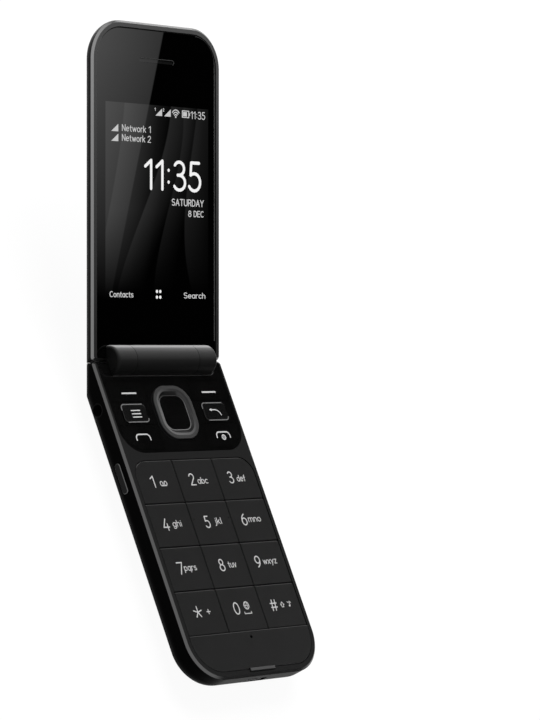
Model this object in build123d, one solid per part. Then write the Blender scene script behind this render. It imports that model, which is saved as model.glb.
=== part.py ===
from build123d import *
import os
from math import cos, radians, sin

# A folding phone: a keypad half that lies on its back and a display half hinged to its end.
#
# Every piece is drawn lying flat in a frame with the hinge axis along X through the origin. A length
# called near, far or u is measured from the axis towards that half's tip (-Y), and a depth is measured
# down from the axis (-Z). The lid's pieces are drawn the same way, then mirrored to the far side of
# the axis and leant up to the open position, when they are written.

# ---- Driving dimensions: millimetres and degrees -------------------------------------------------
WIDTH = 54.4               # both halves, side to side
REACH = 100.4              # hinge axis to the tip of either half
BASE_DEPTH = 11.4          # keypad half, front to back
LID_DEPTH = 6.7            # display half, front to back
CLOSED_GAP = 0.6           # between the two fronts when shut; the axis is in its middle
OPEN_ANGLE = 154.5         # between the two fronts when open against the stop

TIP_CORNER = 12.0          # corner radius at both tips, seen from the front
HINGE_CORNER = 1.2         # corner radius at the hinge ends
RIM_CHAMFER = 0.64         # bevel round each front edge
END_GAP = 0.4              # between the two halves' end faces
BASE_INSET = 11.0          # elliptical rear edge of the base: inwards, and up
BASE_RISE = 6.9
LID_INSET = 10.5           # the same on the lid
LID_RISE = 5.8

RIM = 1.9                  # side wall, as seen from the front
COVER_WALL = 1.2           # wall of the battery cover
COVER_DEPTH = 4.7          # battery cover, front to back
SEAM = 0.1                 # gap along a seam between two fixed pieces
STACK_GAP = 0.05           # between pieces stacked on each other
LIP_PLAY = 0.1             # between a key's inner lip and what holds it in
TRAVEL_SPARE = 0.04        # left between a fully pressed key and the dome sheet

# ---- Hinge ---------------------------------------------------------------------------------------
BARREL_RADIUS = 4.55
BARREL_SIDE = 6.2          # from the phone's side to the barrel's end
OUTER_KNUCKLE = 7.75       # length of each of the base's two knuckles
KNUCKLE_GAP = 0.15         # between knuckles, end to end
BARREL_CLEARANCE = 0.12    # round and at the ends of the barrel, in both halves
BARREL_EDGE = 0.9          # rounding at the barrel's outer ends
HINGE_WALL = 1.93          # wall of each half beside the barrel
WEB_TOP = 2.6              # tongue that ties a knuckle to its half
WEB_THICKNESS = 1.6
WEB_TAIL = 0.8             # how far the tongue reaches past the wall
WEB_CLEARANCE = 0.06
OUTER_WEB_LENGTH = 5.0
CENTRE_WEB_MARGIN = 2.1    # from the centre knuckle's ends to its tongue
CARTRIDGE_WALL = 1.55      # of the knuckles round the spring cartridge
CARTRIDGE_LENGTH = 17.0
PIVOT_RADIUS = 1.6         # plain pivot at the other end
PIVOT_LENGTH = 14.0
PIVOT_CLEARANCE = 0.05
PIN_BEVEL = 0.2
CAP_LIP = 1.05             # of the barrel's end round each cap
CAP_THICKNESS = 0.8
CAP_GAP = 0.12
CAP_SINK = 0.02
FLEX_RADIUS = 2.6          # rolled flex cable between cartridge and pivot
FLEX_WALL = 0.5
FLEX_GAP = 0.3             # between the roll and the pins beside it
FLEX_PLAY = 0.1            # round the roll

# ---- Function keys -------------------------------------------------------------------------------
PLATE_OVERLAP = 0.4        # how far the glossy plate reaches over the side walls
PLATE_NEAR = 0.9
PLATE_FAR = 29.5
PLATE_CORNER = 8.0
PLATE_SINK = 0.05
PLATE_THICKNESS = 0.85
PANEL_GAP = 0.15           # round the plate and the end panel
KEY_SEAM = 0.1             # round each function key
KEY_FLANGE = 0.3           # lip that keeps a function key from falling out
FLANGE_THICKNESS = 0.25
FUNCTION_SIDE = 0.5        # plate left outside the corner keys
FUNCTION_MIDDLE = 1.6      # plate left between the corner keys and the ring
SOFT_MARGIN = 1.85         # from the barrel's room to the soft keys
SOFT_LENGTH = 6.7
TILE_SIDE = 2.7            # raised menu and back keys: inwards from the corner keys' outer edges
TILE_WIDTH = 10.2
TILE_LENGTH = 6.0
TILE_GAP = 0.75            # from the soft keys to the raised keys, and on to the call and end keys
TILE_CORNER = 1.5
TILE_LIFT = 0.22
TILE_BEVEL = 0.18
FLAT_BEVEL = 0.05
CALL_LENGTH = 7.9
CALL_CORNER = 7.1

RING_CENTRE = 17.0         # four-way ring, from the axis
RING_HALF = 8.0
RING_HALF_LENGTH = 8.7
RING_CORNER = 6.2
RING_BAND = 1.9            # flat band round the ring's top
RING_LIFT = 0.5
RING_EDGE = 0.2
RING_TILT = 1.5            # degrees, each way
WELL_HALF = 5.6            # opening for the centre key
WELL_HALF_LENGTH = 5.9
WELL_CORNER = 3.3
WELL_SINK = 0.2
CENTRE_LIFT = 0.08         # centre key above the foot of the ring's slope
CENTRE_BEVEL = 0.12
CARRIER_THICKNESS = 0.2    # ring's tilting carrier
CARRIER_MARGIN = 0.6
CARRIER_BORE = 0.35

# ---- Number keys ---------------------------------------------------------------------------------
KEYPAD_NEAR = 32.1
END_ROOM = 13.66           # from the last key row to the tip
KEYPAD_SIDE = 0.1          # between the side wall and the keypad
KEY_GAP = 0.2
KEY_HEIGHT = 1.45
KEY_EDGE = 0.18            # bevel round each key's top
KEYPAD_CORNER = 5.5
KEY_CORNER = 0.35
PLUNGER_RADIUS = 1.6
PLUNGER_LENGTH = 0.16
KEY_TRAVEL = 0.3

# ---- End of the base -----------------------------------------------------------------------------
PANEL_MARGIN = 0.3         # between the end panel and the tip wall's inner face
PANEL_THICKNESS = 0.9
MIC_MARGIN = 1.86          # from the last key row to the microphone hole
MIC_HOLE = 0.45
MIC_WIDTH = 3.0
MIC_LENGTH = 4.0
MIC_HEIGHT = 1.1
REST_LENGTH = 10.6         # soft strip that the lid's tip lands on
REST_WIDTH = 1.1
REST_MARGIN = 1.4          # from the strip to the tip
REST_LIFT = 0.42
REST_SINK = 0.5
REST_PLAY = 0.05
REST_EDGE = 0.21

# ---- Inside the base -----------------------------------------------------------------------------
SHEET_GAP = 0.2            # between the front wall and the dome sheet
SHEET_THICKNESS = 0.2
BOARD_THICKNESS = 0.8
BOARD_NEAR_GAP = 0.8       # between the hinge tongues and the board
BOARD_MARGIN = 0.7         # inside the frame's wall
CAN_WIDTH = 30.0
CAN_HEIGHT = 1.45
CAN_CORNER = 1.0
CAN_NEAR = 27.5
CAN_GAP = 3.0
CAN_LENGTH = 20.5          # of the nearer can
CAN_END = 22.4             # from the farther can to the tip
MID_MARGIN = 0.35
MID_THICKNESS = 0.5
BAY_WALL = 0.9
BAY_DEPTH = 3.2
BAY_CLEARANCE = 0.25
BATTERY_SIDE = 9.2         # from the phone's side to the battery
BATTERY_NEAR = 29.0
BATTERY_GAP = 0.3          # between the battery and its cover
BATTERY_EDGE = 1.0
CONTACT_ROOM = 3.1         # from the battery to the loudspeaker
CONTACT_WIDTH = 10.0
CONTACT_DEPTH = 1.9
CONTACT_HEIGHT = 2.6
CONTACT_PITCH = 3.0
BLADE_WIDTH = 1.0
BLADE_REACH = 0.3
SPEAKER_WIDTH = 13.0
SPEAKER_LENGTH = 7.0
SPEAKER_CENTRE = -9.5
SPEAKER_FROM_TIP = 11.8
SPEAKER_CORNER = 1.0
GRILLE_HOLE = 0.5
GRILLE_PITCH = 2.0
MOTOR_RADIUS = 2.0
MOTOR_LENGTH = 6.0
MOTOR_LEFT = 6.0
SHAFT_RADIUS = 0.4
SHAFT_CLEARANCE = 0.05
WEIGHT_RADIUS = 1.8
WEIGHT_LENGTH = 3.2
WEIGHT_GAP = 0.8
SIM_WIDTH = 26.0
SIM_LENGTH = 16.0
SIM_CENTRE = 5.0
SIM_NEAR = 9.5
SIM_THICKNESS = 1.4
SIM_WALL = 0.3
SIM_RIB = 0.6
BOSS_RADIUS = 2.1
BOSS_CLEARANCE = 0.2
SCREW_RADIUS = 0.8
SCREW_HEAD = 1.4
SCREW_HEAD_HEIGHT = 0.7
SCREW_CLEARANCE = 0.05
SCREW_CROSS = (1.6, 0.35, 0.5)
BAR_SCREW_SIDE = 3.4       # from the side walls to the screws in the bar between the key groups
TIP_SCREW_SIDE = 8.3       # from the side walls and the tip wall to the screws under the end panel
TIP_SCREW_END = 4.7

# ---- Sockets and side keys -----------------------------------------------------------------------
JACK_RADIUS = 1.8
JACK_SLEEVE = 2.1
JACK_DEPTH = 13.6
JACK_END = 0.8
JACK_FROM_AXIS = 13.9
JACK_BODY = 6.0
JACK_SINK = 0.1
JACK_CLEARANCE = 0.2
USB_WIDTH = 7.6
USB_HEIGHT = 2.7
USB_LENGTH = 5.2
USB_SINK = 0.5             # mouth behind the tip
USB_WALL = 0.35
USB_TONGUE = (3.8, 0.6)
USB_TONGUE_SINK = 0.9
USB_HOLE_MARGIN = 0.25
USB_ROOM_SIDE = 1.0
SIDE_KEY_LENGTH = 9.4
SIDE_KEY_HEIGHT = 2.2
SIDE_KEY_FROM_AXIS = 36.0
SIDE_KEY_SINK = 2.55       # from the front to both side keys
SIDE_KEY_LIFT = 0.35
SIDE_KEY_ROUND = 0.92
SIDE_KEY_BEVEL = 0.17
SIDE_TRAVEL = 0.3
SIDE_CLEARANCE = 0.15
SIDE_LIP = 0.5
ROCKER_LENGTH = 17.6
ROCKER_FROM_AXIS = 31.5
ROCKER_TILT = 1.5          # degrees, each way
ROCKER_LIP = 0.3           # thinner than the side key's lip, for its swing
ROCKER_SWITCH = 6.3        # from the rocker's middle to each of its switches
SWITCH_LENGTH = 3.6
SWITCH_DEPTH = 1.2
SWITCH_HEIGHT = 1.4
SWITCH_GAP = 0.08

# ---- Lid -----------------------------------------------------------------------------------------
GLASS_MARGIN = 0.35        # between the side walls and the inner glass
GLASS_NEAR = 1.1
GLASS_SINK = 0.45
GLASS_THICKNESS = 0.8
GLASS_LEDGE = 0.85         # thickness of the ledge that the glass is glued to
DISPLAY_MARGIN = 1.65      # ledge outside the display
DISPLAY_PLAY = 0.2
DISPLAY_NEAR = 14.5
DISPLAY_END = 20.9         # from the display to the tip
DISPLAY_THICKNESS = 1.5
EARPIECE_FROM_TIP = 11.1
EARPIECE_SLOT = 14.6
EARPIECE_SLOT_WIDTH = 1.3
MESH_SINK = 0.25
MESH_PLAY = 0.1
RECEIVER_WIDTH = 15.6
RECEIVER_LENGTH = 5.5
RECEIVER_THICKNESS = 2.0
RECEIVER_CORNER = 1.0
LID_WALL = 1.8             # outer shell behind the boards
LID_BOARD_GAP = 0.1
LID_BOARD_THICKNESS = 0.6
LID_BOARD_WIDTH = 36.0
LID_BOARD_FAR = 60.0
OUTER_PANEL_FAR = 55.0     # glossy outer panel, from the axis
OUTER_PANEL_SIDE = 1.1     # shell left outside it, seen from the back
OUTER_PANEL_END = 0.7      # shell left at the hinge end
OUTER_PANEL_CORNER = 6.8
OUTER_PANEL_THICKNESS = 0.9
OUTER_PANEL_GAP = 0.06
OUTER_PANEL_RIM = 0.4      # shell left between the panel and the lid's front frame
OUTER_DISPLAY_SIZE = 27.0
OUTER_DISPLAY_FROM_AXIS = 31.5
OUTER_DISPLAY_THICKNESS = 1.3
CAMERA_FROM_AXIS = 12.4
CAMERA_WINDOW = 2.8
CAMERA_BODY = 7.0
CAMERA_LENS = 2.5
FLASH_WINDOW = 1.1
FLASH_OFFSET = 7.0
WINDOW_SINK = 0.03
WINDOW_THICKNESS = 0.72
FLASH_DEPTH = 1.3
MAGNET_SIZE = (9.0, 3.0, 1.5)
MAGNET_FROM_TIP = 6.2

# ---- Derived values ------------------------------------------------------------------------------
FAR = 60.0                                 # far past every outline, for cutters
HALF = WIDTH / 2
INNER = HALF - RIM                         # inner face of both side walls
INNER_CORNER = TIP_CORNER - RIM
CAVITY_FAR = REACH - RIM                   # inner face of both tip walls
LEAN = 180 - OPEN_ANGLE
MITRE = LEAN / 2

# Depths below the axis, front to back: first the base, then the lid.
FRONT = CLOSED_GAP / 2
BASE_BACK = FRONT + BASE_DEPTH
BASE_PARTING = BASE_BACK - COVER_DEPTH
PLATE_TOP = FRONT + PLATE_SINK
PLATE_BOTTOM = PLATE_TOP + PLATE_THICKNESS
KEY_BOTTOM = FRONT + KEY_HEIGHT
SHEET_TOP = KEY_BOTTOM + PLUNGER_LENGTH + KEY_TRAVEL + TRAVEL_SPARE
FRONT_WALL = SHEET_TOP - SHEET_GAP
RING_SLOPE = sin(radians(RING_TILT))
CARRIER_BOTTOM = SHEET_TOP - (RING_HALF_LENGTH - CARRIER_MARGIN) * RING_SLOPE - STACK_GAP
CARRIER_TOP = CARRIER_BOTTOM - CARRIER_THICKNESS
RING_BOTTOM = CARRIER_TOP - (RING_HALF - CARRIER_MARGIN) * RING_SLOPE - STACK_GAP
RING_TOP = FRONT - RING_LIFT
WELL_TOP = FRONT + WELL_SINK
BOARD_TOP = SHEET_TOP + SHEET_THICKNESS
BOARD_BOTTOM = BOARD_TOP + BOARD_THICKNESS
MID_TOP = BOARD_BOTTOM + CAN_HEIGHT + STACK_GAP
MID_BOTTOM = MID_TOP + MID_THICKNESS
BATTERY_TOP = MID_BOTTOM + STACK_GAP
BATTERY_BOTTOM = BASE_BACK - COVER_WALL - BATTERY_GAP
JACK_MIDDLE = BOARD_TOP + JACK_SINK + JACK_SLEEVE
USB_TOP = BOARD_BOTTOM + STACK_GAP
SLOT_TOP = FRONT + SIDE_KEY_SINK
SLOT_BOTTOM = SLOT_TOP + SIDE_KEY_HEIGHT
LIP_TOP = BOARD_BOTTOM + LIP_PLAY
LID_BACK = FRONT + LID_DEPTH
GLASS_TOP = FRONT + GLASS_SINK
GLASS_BOTTOM = GLASS_TOP + GLASS_THICKNESS
LID_PARTING = GLASS_BOTTOM + GLASS_LEDGE
DISPLAY_TOP = GLASS_BOTTOM + STACK_GAP
LID_BOARD_TOP = DISPLAY_TOP + DISPLAY_THICKNESS + LID_BOARD_GAP
LID_BOARD_BOTTOM = LID_BOARD_TOP + LID_BOARD_THICKNESS
LID_FLOOR = LID_BACK - LID_WALL
OUTER_PANEL_TOP = LID_BACK - OUTER_PANEL_THICKNESS

# Places from the hinge axis.
VOID_RADIUS = BARREL_RADIUS + BARREL_CLEARANCE
BARREL_LENGTH = WIDTH - 2 * BARREL_SIDE
VOID_LENGTH = BARREL_LENGTH + 2 * BARREL_CLEARANCE
CENTRE_KNUCKLE = BARREL_LENGTH - 2 * (OUTER_KNUCKLE + KNUCKLE_GAP)
CENTRE_WEB_LENGTH = CENTRE_KNUCKLE - 2 * CENTRE_WEB_MARGIN
CARTRIDGE_RADIUS = BARREL_RADIUS - CARTRIDGE_WALL
CAVITY_NEAR = VOID_RADIUS + HINGE_WALL
WEB_BOTTOM = WEB_TOP + WEB_THICKNESS
WEB_END = CAVITY_NEAR + WEB_TAIL
BOARD_NEAR = WEB_END + BOARD_NEAR_GAP
SOFT_NEAR = VOID_RADIUS + SOFT_MARGIN
SOFT_FAR = SOFT_NEAR + SOFT_LENGTH
TILE_NEAR = SOFT_FAR + TILE_GAP
TILE_FAR = TILE_NEAR + TILE_LENGTH
CALL_NEAR = TILE_FAR + TILE_GAP
CALL_FAR = CALL_NEAR + CALL_LENGTH
KEYPAD_FAR = REACH - END_ROOM
KEY_PITCH = (KEYPAD_FAR - KEYPAD_NEAR) / 4
MIC_FROM_AXIS = KEYPAD_FAR + MIC_MARGIN
PANEL_FAR = CAVITY_FAR - PANEL_MARGIN
SPEAKER_FROM_AXIS = REACH - SPEAKER_FROM_TIP
BATTERY_FAR = SPEAKER_FROM_AXIS - SPEAKER_LENGTH / 2 - CONTACT_ROOM
CONTACT_NEAR = BATTERY_FAR + BAY_CLEARANCE
USB_FAR = REACH - USB_SINK
GLASS_FAR = CAVITY_FAR - PANEL_MARGIN
EARPIECE_FROM_AXIS = REACH - EARPIECE_FROM_TIP
MAGNET_FROM_AXIS = REACH - MAGNET_FROM_TIP

# Places from the middle plane.
PLATE_HALF = INNER + PLATE_OVERLAP
KEY_COLUMN = 2 * (INNER - KEYPAD_SIDE) / 3
FUNCTION_OUTER = INNER - FUNCTION_SIDE
FUNCTION_INNER = RING_HALF + FUNCTION_MIDDLE
TILE_CENTRE = FUNCTION_OUTER - TILE_SIDE - TILE_WIDTH / 2
GLASS_HALF = INNER - GLASS_MARGIN
DISPLAY_HALF = GLASS_HALF - DISPLAY_MARGIN
BATTERY_HALF = HALF - BATTERY_SIDE
OUTER_WEB_X = (CENTRE_KNUCKLE + BARREL_LENGTH) / 4
SWITCH_FACE = INNER - SIDE_LIP - LIP_PLAY - SIDE_TRAVEL - SWITCH_GAP

# Where the whole phone stands: the origin is under the middle of the base.
AT_HINGE = Pos(0, REACH / 2, BASE_BACK)


# ---- Drawing helpers -----------------------------------------------------------------------------
def panel(half, near, far, near_corner=0.0, far_corner=0.0, centre=0.0):
    """Outline across a half, from near to far of the hinge axis, with rounded end corners."""
    face = Pos(centre, -(near + far) / 2) * Rectangle(2 * half, far - near)
    if near_corner > 0:
        face = fillet(face.vertices().group_by(Axis.Y)[-1], near_corner)
    if far_corner > 0:
        face = fillet(face.vertices().group_by(Axis.Y)[0], far_corner)
    return face


def slab(face, top, bottom):
    """Solid with this outline between two depths below the axis."""
    return extrude(Pos(0, 0, -bottom) * face, bottom - top, dir=(0, 0, 1))


def brick(left, right, near, far, top, bottom):
    """Plain block between named limits."""
    return slab(panel((right - left) / 2, near, far, centre=(left + right) / 2), top, bottom)


def rod(radius, left, right, u=0.0, depth=0.0):
    """Round bar along X."""
    return Pos((left + right) / 2, -u, -depth) * Rot(0, 90, 0) * Cylinder(radius, right - left)


def post(radius, x, u, top, bottom):
    """Round bar along the depth of a half."""
    return Pos(x, -u, -(top + bottom) / 2) * Cylinder(radius, bottom - top)


def both_sides(piece):
    """A piece and its mirror image across the middle plane."""
    return piece + mirror(piece, about=Plane.YZ)


def front_edges(piece):
    """Edges round a piece's front face."""
    return piece.faces().sort_by(Axis.Z)[-1].edges()


def edge_section(inset, rise):
    """What an elliptical edge leaves out: x runs in from the wall, y runs up from the back."""
    spare = inset
    arc = EllipticalCenterArc((inset, rise), inset, rise, 180, arc_size=90)
    rest = Polyline((inset, 0), (inset, -spare), (-spare, -spare), (-spare, rise), (0, rise))
    return make_face(arc.edges() + rest.edges())


def half_form(shrink, front, back, inset, rise):
    """A half's form: straight walls, then an elliptical edge down both sides and round the tip."""
    half, reach, corner = HALF - shrink, REACH - shrink, TIP_CORNER - shrink
    body = slab(panel(half, -FAR, reach, far_corner=corner), front, back)
    section = edge_section(inset - shrink, rise - shrink)
    straight = reach - corner
    wall = Plane(origin=(half, -straight, -back), x_dir=(-1, 0, 0), z_dir=(0, 1, 0))
    side = extrude(wall * section, straight + FAR)
    turn = revolve(wall * section, Axis((half - corner, -straight, 0), (0, 0, -1)), 90)
    end = Plane(origin=(corner - half, -reach, -back), x_dir=(0, 1, 0), z_dir=(1, 0, 0))
    tip = extrude(end * section, 2 * (half - corner))
    return body - (both_sides(side + turn) + tip)


def mitre_prism(shrink):
    """What lies on a half's own side of the plane where the two open halves meet."""
    lean = radians(MITRE)
    slope = Plane(origin=(0, 0, 0), x_dir=(1, 0, 0), z_dir=(0, -sin(lean), cos(lean)))
    face = panel(HALF - shrink, END_GAP / 2 + shrink, REACH + FAR, near_corner=HINGE_CORNER)
    return extrude(slope * face, FAR, both=True)


def facet_prism(shrink):
    """The lid's outer form carried on past the hinge, which gives the base its rear facet."""
    back = LID_BACK - shrink
    body = slab(panel(HALF - shrink, -FAR, REACH + FAR), -2 * REACH, back)
    wall = Plane(origin=(HALF - shrink, -REACH - FAR, -back), x_dir=(-1, 0, 0), z_dir=(0, 1, 0))
    side = extrude(wall * edge_section(LID_INSET - shrink, LID_RISE - shrink), REACH + 2 * FAR)
    return Rot(LEAN, 0, 0) * (body - both_sides(side))


def base_form(shrink):
    """The base's outer form, or the same form shrunk by a wall."""
    body = half_form(shrink, FRONT, BASE_BACK - shrink, BASE_INSET, BASE_RISE)
    return body & facet_prism(shrink) & mitre_prism(shrink)


def lid_block(shrink, back):
    """The lid's form without its hinge end, or the same form shrunk by a wall."""
    return half_form(shrink, FRONT, back, LID_INSET, LID_RISE - LID_BACK + shrink + back)


def barrel_void():
    """Room for the hinge barrel in either half."""
    return rod(VOID_RADIUS, -VOID_LENGTH / 2, VOID_LENGTH / 2)


def web(length, centre, clearance=0.0):
    """Tongue from a knuckle into its half, or the slot for it."""
    half = length / 2 + clearance
    return brick(centre - half, centre + half, BARREL_RADIUS / 2, WEB_END + clearance,
                 WEB_TOP - clearance, WEB_BOTTOM + clearance)


BASE_BODY = base_form(0)
BASE_BODY = chamfer(front_edges(BASE_BODY), RIM_CHAMFER)
LID_BODY = lid_block(0, LID_BACK) & mitre_prism(0)
LID_BODY = chamfer(front_edges(LID_BODY), RIM_CHAMFER)
EVERYTHING = (-WIDTH, WIDTH, -FAR, REACH + FAR)


# ---- Base: shells --------------------------------------------------------------------------------
def screw_places():
    """The four screws that hold the mid frame to the front frame."""
    bar_x, bar_u = INNER - BAR_SCREW_SIDE, (PLATE_FAR + KEYPAD_NEAR) / 2
    tip_x, tip_u = INNER - TIP_SCREW_SIDE, CAVITY_FAR - TIP_SCREW_END
    return [(bar_x, bar_u), (-bar_x, bar_u), (tip_x, tip_u), (-tip_x, tip_u)]


def key_room():
    """Opening under the glossy plate, past the function keys' lips."""
    margin = KEY_FLANGE + LIP_PLAY
    return panel(FUNCTION_OUTER + margin, SOFT_NEAR - margin, CALL_FAR + margin,
                 far_corner=CALL_CORNER + margin)


def rest_strip(clearance):
    """Strip at the tip, proud of the rim, or the seat for it."""
    half = REST_LENGTH / 2 + clearance
    far = REACH - REST_MARGIN
    return brick(-half, half, far - REST_WIDTH - clearance, far + clearance,
                 FRONT - REST_LIFT, FRONT + REST_SINK)


def side_slot(side, length, u):
    """Slot through a side wall for a side key."""
    half = length / 2 + SIDE_CLEARANCE
    ends = sorted((side * (INNER - RIM), side * (HALF + RIM)))
    return brick(ends[0], ends[1], u - half, u + half,
                 SLOT_TOP - SIDE_CLEARANCE, SLOT_BOTTOM + SIDE_CLEARANCE)


def usb_block(margin, side, far):
    """Outer block of the charging socket at the base's tip, grown by margins."""
    outline = panel(USB_WIDTH / 2 + side, USB_FAR - USB_LENGTH - margin, far)
    return slab(outline, USB_TOP - margin, USB_TOP + USB_HEIGHT + margin)


def jack_room():
    """Room for the headset socket in the board and the mid frame."""
    half = JACK_BODY / 2 + JACK_CLEARANCE
    return brick(-HALF, JACK_DEPTH + JACK_CLEARANCE - HALF, JACK_FROM_AXIS - half,
                 JACK_FROM_AXIS + half, BOARD_TOP, BASE_PARTING)


def front_frame():
    """Rim, side walls and screw posts of the keypad half."""
    body = BASE_BODY & brick(*EVERYTHING, -FAR, BASE_PARTING)
    plate = panel(PLATE_HALF + PANEL_GAP, PLATE_NEAR - PANEL_GAP, PLATE_FAR + PANEL_GAP,
                  far_corner=PLATE_CORNER + PANEL_GAP)
    keypad = panel(INNER, KEYPAD_NEAR - KEYPAD_SIDE, KEYPAD_FAR, near_corner=KEYPAD_CORNER)
    end = panel(INNER, KEYPAD_FAR - PANEL_GAP, PANEL_FAR + PANEL_GAP, far_corner=INNER_CORNER)
    cavity = panel(INNER, CAVITY_NEAR, CAVITY_FAR, far_corner=INNER_CORNER)
    body -= slab(plate, -FRONT, PLATE_BOTTOM)
    body -= slab(key_room(), -FRONT, FRONT_WALL)
    body -= slab(keypad, -FRONT, FRONT_WALL)
    body -= slab(end, -FRONT, FRONT + PANEL_THICKNESS)
    body -= slab(cavity, FRONT_WALL, BASE_PARTING)
    for x, u in screw_places():
        body += post(BOSS_RADIUS, x, u, FRONT_WALL, MID_TOP - STACK_GAP)
        body -= post(SCREW_RADIUS + SCREW_CLEARANCE, x, u, FRONT_WALL, MID_TOP)
    body -= barrel_void()
    body -= both_sides(web(OUTER_WEB_LENGTH, OUTER_WEB_X, WEB_CLEARANCE))
    body -= post(MIC_HOLE, 0, MIC_FROM_AXIS, FRONT, BOARD_TOP)
    body -= rod(JACK_SLEEVE + STACK_GAP, -HALF - RIM, -INNER + RIM, JACK_FROM_AXIS, JACK_MIDDLE)
    body -= usb_block(USB_HOLE_MARGIN, USB_HOLE_MARGIN, REACH + RIM)
    body -= side_slot(-1, SIDE_KEY_LENGTH, SIDE_KEY_FROM_AXIS)
    body -= side_slot(1, ROCKER_LENGTH, ROCKER_FROM_AXIS)
    return body - rest_strip(REST_PLAY)


def battery_cover():
    """Rear shell with its rounded edge, the slanted rear facet and the loudspeaker's holes."""
    body = BASE_BODY & brick(*EVERYTHING, BASE_PARTING + SEAM, FAR)
    body -= base_form(COVER_WALL)
    for column in range(-2, 3):
        for row in (-0.5, 0.5):
            body -= post(GRILLE_HOLE, SPEAKER_CENTRE + column * GRILLE_PITCH,
                         SPEAKER_FROM_AXIS + row * GRILLE_PITCH, BASE_PARTING, FAR)
    return body


def mid_frame():
    """Tray between the circuit board and the battery, with a wall round the battery."""
    outline = panel(INNER - MID_MARGIN, CAVITY_NEAR + MID_MARGIN, CAVITY_FAR - MID_MARGIN,
                    far_corner=INNER_CORNER - MID_MARGIN)
    body = slab(outline, MID_TOP, MID_BOTTOM)
    inside, outside = BAY_CLEARANCE, BAY_CLEARANCE + BAY_WALL
    bay = slab(panel(BATTERY_HALF + outside, BATTERY_NEAR - outside, BATTERY_FAR + outside),
               MID_TOP, MID_BOTTOM + BAY_DEPTH)
    bay -= slab(panel(BATTERY_HALF + inside, BATTERY_NEAR - inside, BATTERY_FAR + inside),
                MID_BOTTOM, FAR)
    bay -= slab(panel(CONTACT_WIDTH / 2 + inside, BATTERY_NEAR, BATTERY_FAR + 2 * outside),
                MID_BOTTOM, FAR)
    body += bay
    body -= jack_room()
    body -= usb_block(USB_HOLE_MARGIN, USB_ROOM_SIDE, REACH)
    for side, length, u in ((-1, SIDE_KEY_LENGTH, SIDE_KEY_FROM_AXIS),
                            (1, ROCKER_LENGTH, ROCKER_FROM_AXIS)):
        body -= side_slot(side, length + 4 * SIDE_LIP, u)
    for x, u in screw_places():
        body -= post(SCREW_RADIUS + SCREW_CLEARANCE, x, u, MID_TOP - RIM, MID_BOTTOM + RIM)
    return body


def function_plate():
    """Glossy plate with an opening for each function key and for the ring."""
    body = slab(panel(PLATE_HALF, PLATE_NEAR, PLATE_FAR, far_corner=PLATE_CORNER),
                PLATE_TOP, PLATE_BOTTOM)
    body -= barrel_void()
    body -= slab(ring_outline(KEY_SEAM), -FRONT, BASE_BACK)
    for outline in function_outlines(KEY_SEAM).values():
        body -= slab(outline, -FRONT, BASE_BACK)
    return body


def keypad_end_panel():
    """Blank panel beyond the last row of keys, with the microphone hole."""
    outline = panel(INNER - PANEL_GAP, KEYPAD_FAR + KEY_GAP / 2, PANEL_FAR,
                    far_corner=INNER_CORNER - PANEL_GAP)
    body = slab(outline, FRONT, FRONT + PANEL_THICKNESS)
    return body - post(MIC_HOLE, 0, MIC_FROM_AXIS, 0, BASE_BACK) - rest_strip(REST_PLAY)


def lid_rest_strip():
    """Soft strip that the lid's tip lands on."""
    body = rest_strip(0)
    return fillet(front_edges(body), REST_EDGE)


# ---- Base: keys ----------------------------------------------------------------------------------
def function_outlines(margin):
    """Outlines of the six keys in the glossy plate, grown by a margin."""
    outlines = {}
    for side, names in ((-1, ("soft_key_left", "menu_key", "call_key")),
                        (1, ("soft_key_right", "back_key", "end_key"))):
        middle = side * (FUNCTION_INNER + FUNCTION_OUTER) / 2
        half = (FUNCTION_OUTER - FUNCTION_INNER) / 2 + margin
        plain, tile = KEY_CORNER + margin, TILE_CORNER + margin
        outlines[names[0]] = panel(half, SOFT_NEAR - margin, SOFT_FAR + margin,
                                   plain, plain, middle)
        outlines[names[1]] = panel(TILE_WIDTH / 2 + margin, TILE_NEAR - margin,
                                   TILE_FAR + margin, tile, tile, side * TILE_CENTRE)
        call = panel(half, CALL_NEAR - margin, CALL_FAR + margin, plain, centre=middle)
        corner = call.vertices().group_by(Axis.Y)[0].sort_by(Axis.X)[-1 if side > 0 else 0]
        outlines[names[2]] = fillet(corner, CALL_CORNER + margin)
    return outlines


def function_keys():
    """Soft keys, raised menu and back keys, call and end keys, each with its retaining lip."""
    tops = function_outlines(0)
    lips = function_outlines(KEY_FLANGE)
    keys = {}
    for name, outline in tops.items():
        raised = name in ("menu_key", "back_key")
        cap = slab(outline, PLATE_TOP - (TILE_LIFT if raised else 0), KEY_BOTTOM)
        cap = chamfer(front_edges(cap), TILE_BEVEL if raised else FLAT_BEVEL)
        lip_top = PLATE_BOTTOM + STACK_GAP
        keys[name] = cap + slab(lips[name], lip_top, lip_top + FLANGE_THICKNESS)
    return keys


def ring_outline(margin):
    """Outer outline of the four-way ring, grown by a margin."""
    reach = RING_HALF_LENGTH + margin
    corner = RING_CORNER + margin
    return panel(RING_HALF + margin, RING_CENTRE - reach, RING_CENTRE + reach, corner, corner)


def well_outline(margin):
    """Outline of the opening in the ring, grown by a margin."""
    reach = WELL_HALF_LENGTH + margin
    corner = WELL_CORNER + margin
    return panel(WELL_HALF + margin, RING_CENTRE - reach, RING_CENTRE + reach, corner, corner)


def nav_ring():
    """Four-way ring with a flat band and a slope down to the centre key."""
    body = slab(ring_outline(0), RING_TOP, RING_BOTTOM)
    body = fillet(front_edges(body), RING_EDGE)
    body -= slab(well_outline(0), -BASE_BACK, BASE_BACK)
    slope = loft([Pos(0, 0, -WELL_TOP) * well_outline(0),
                  Pos(0, 0, -RING_TOP) * ring_outline(-RING_BAND)])
    return body - slope


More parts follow.
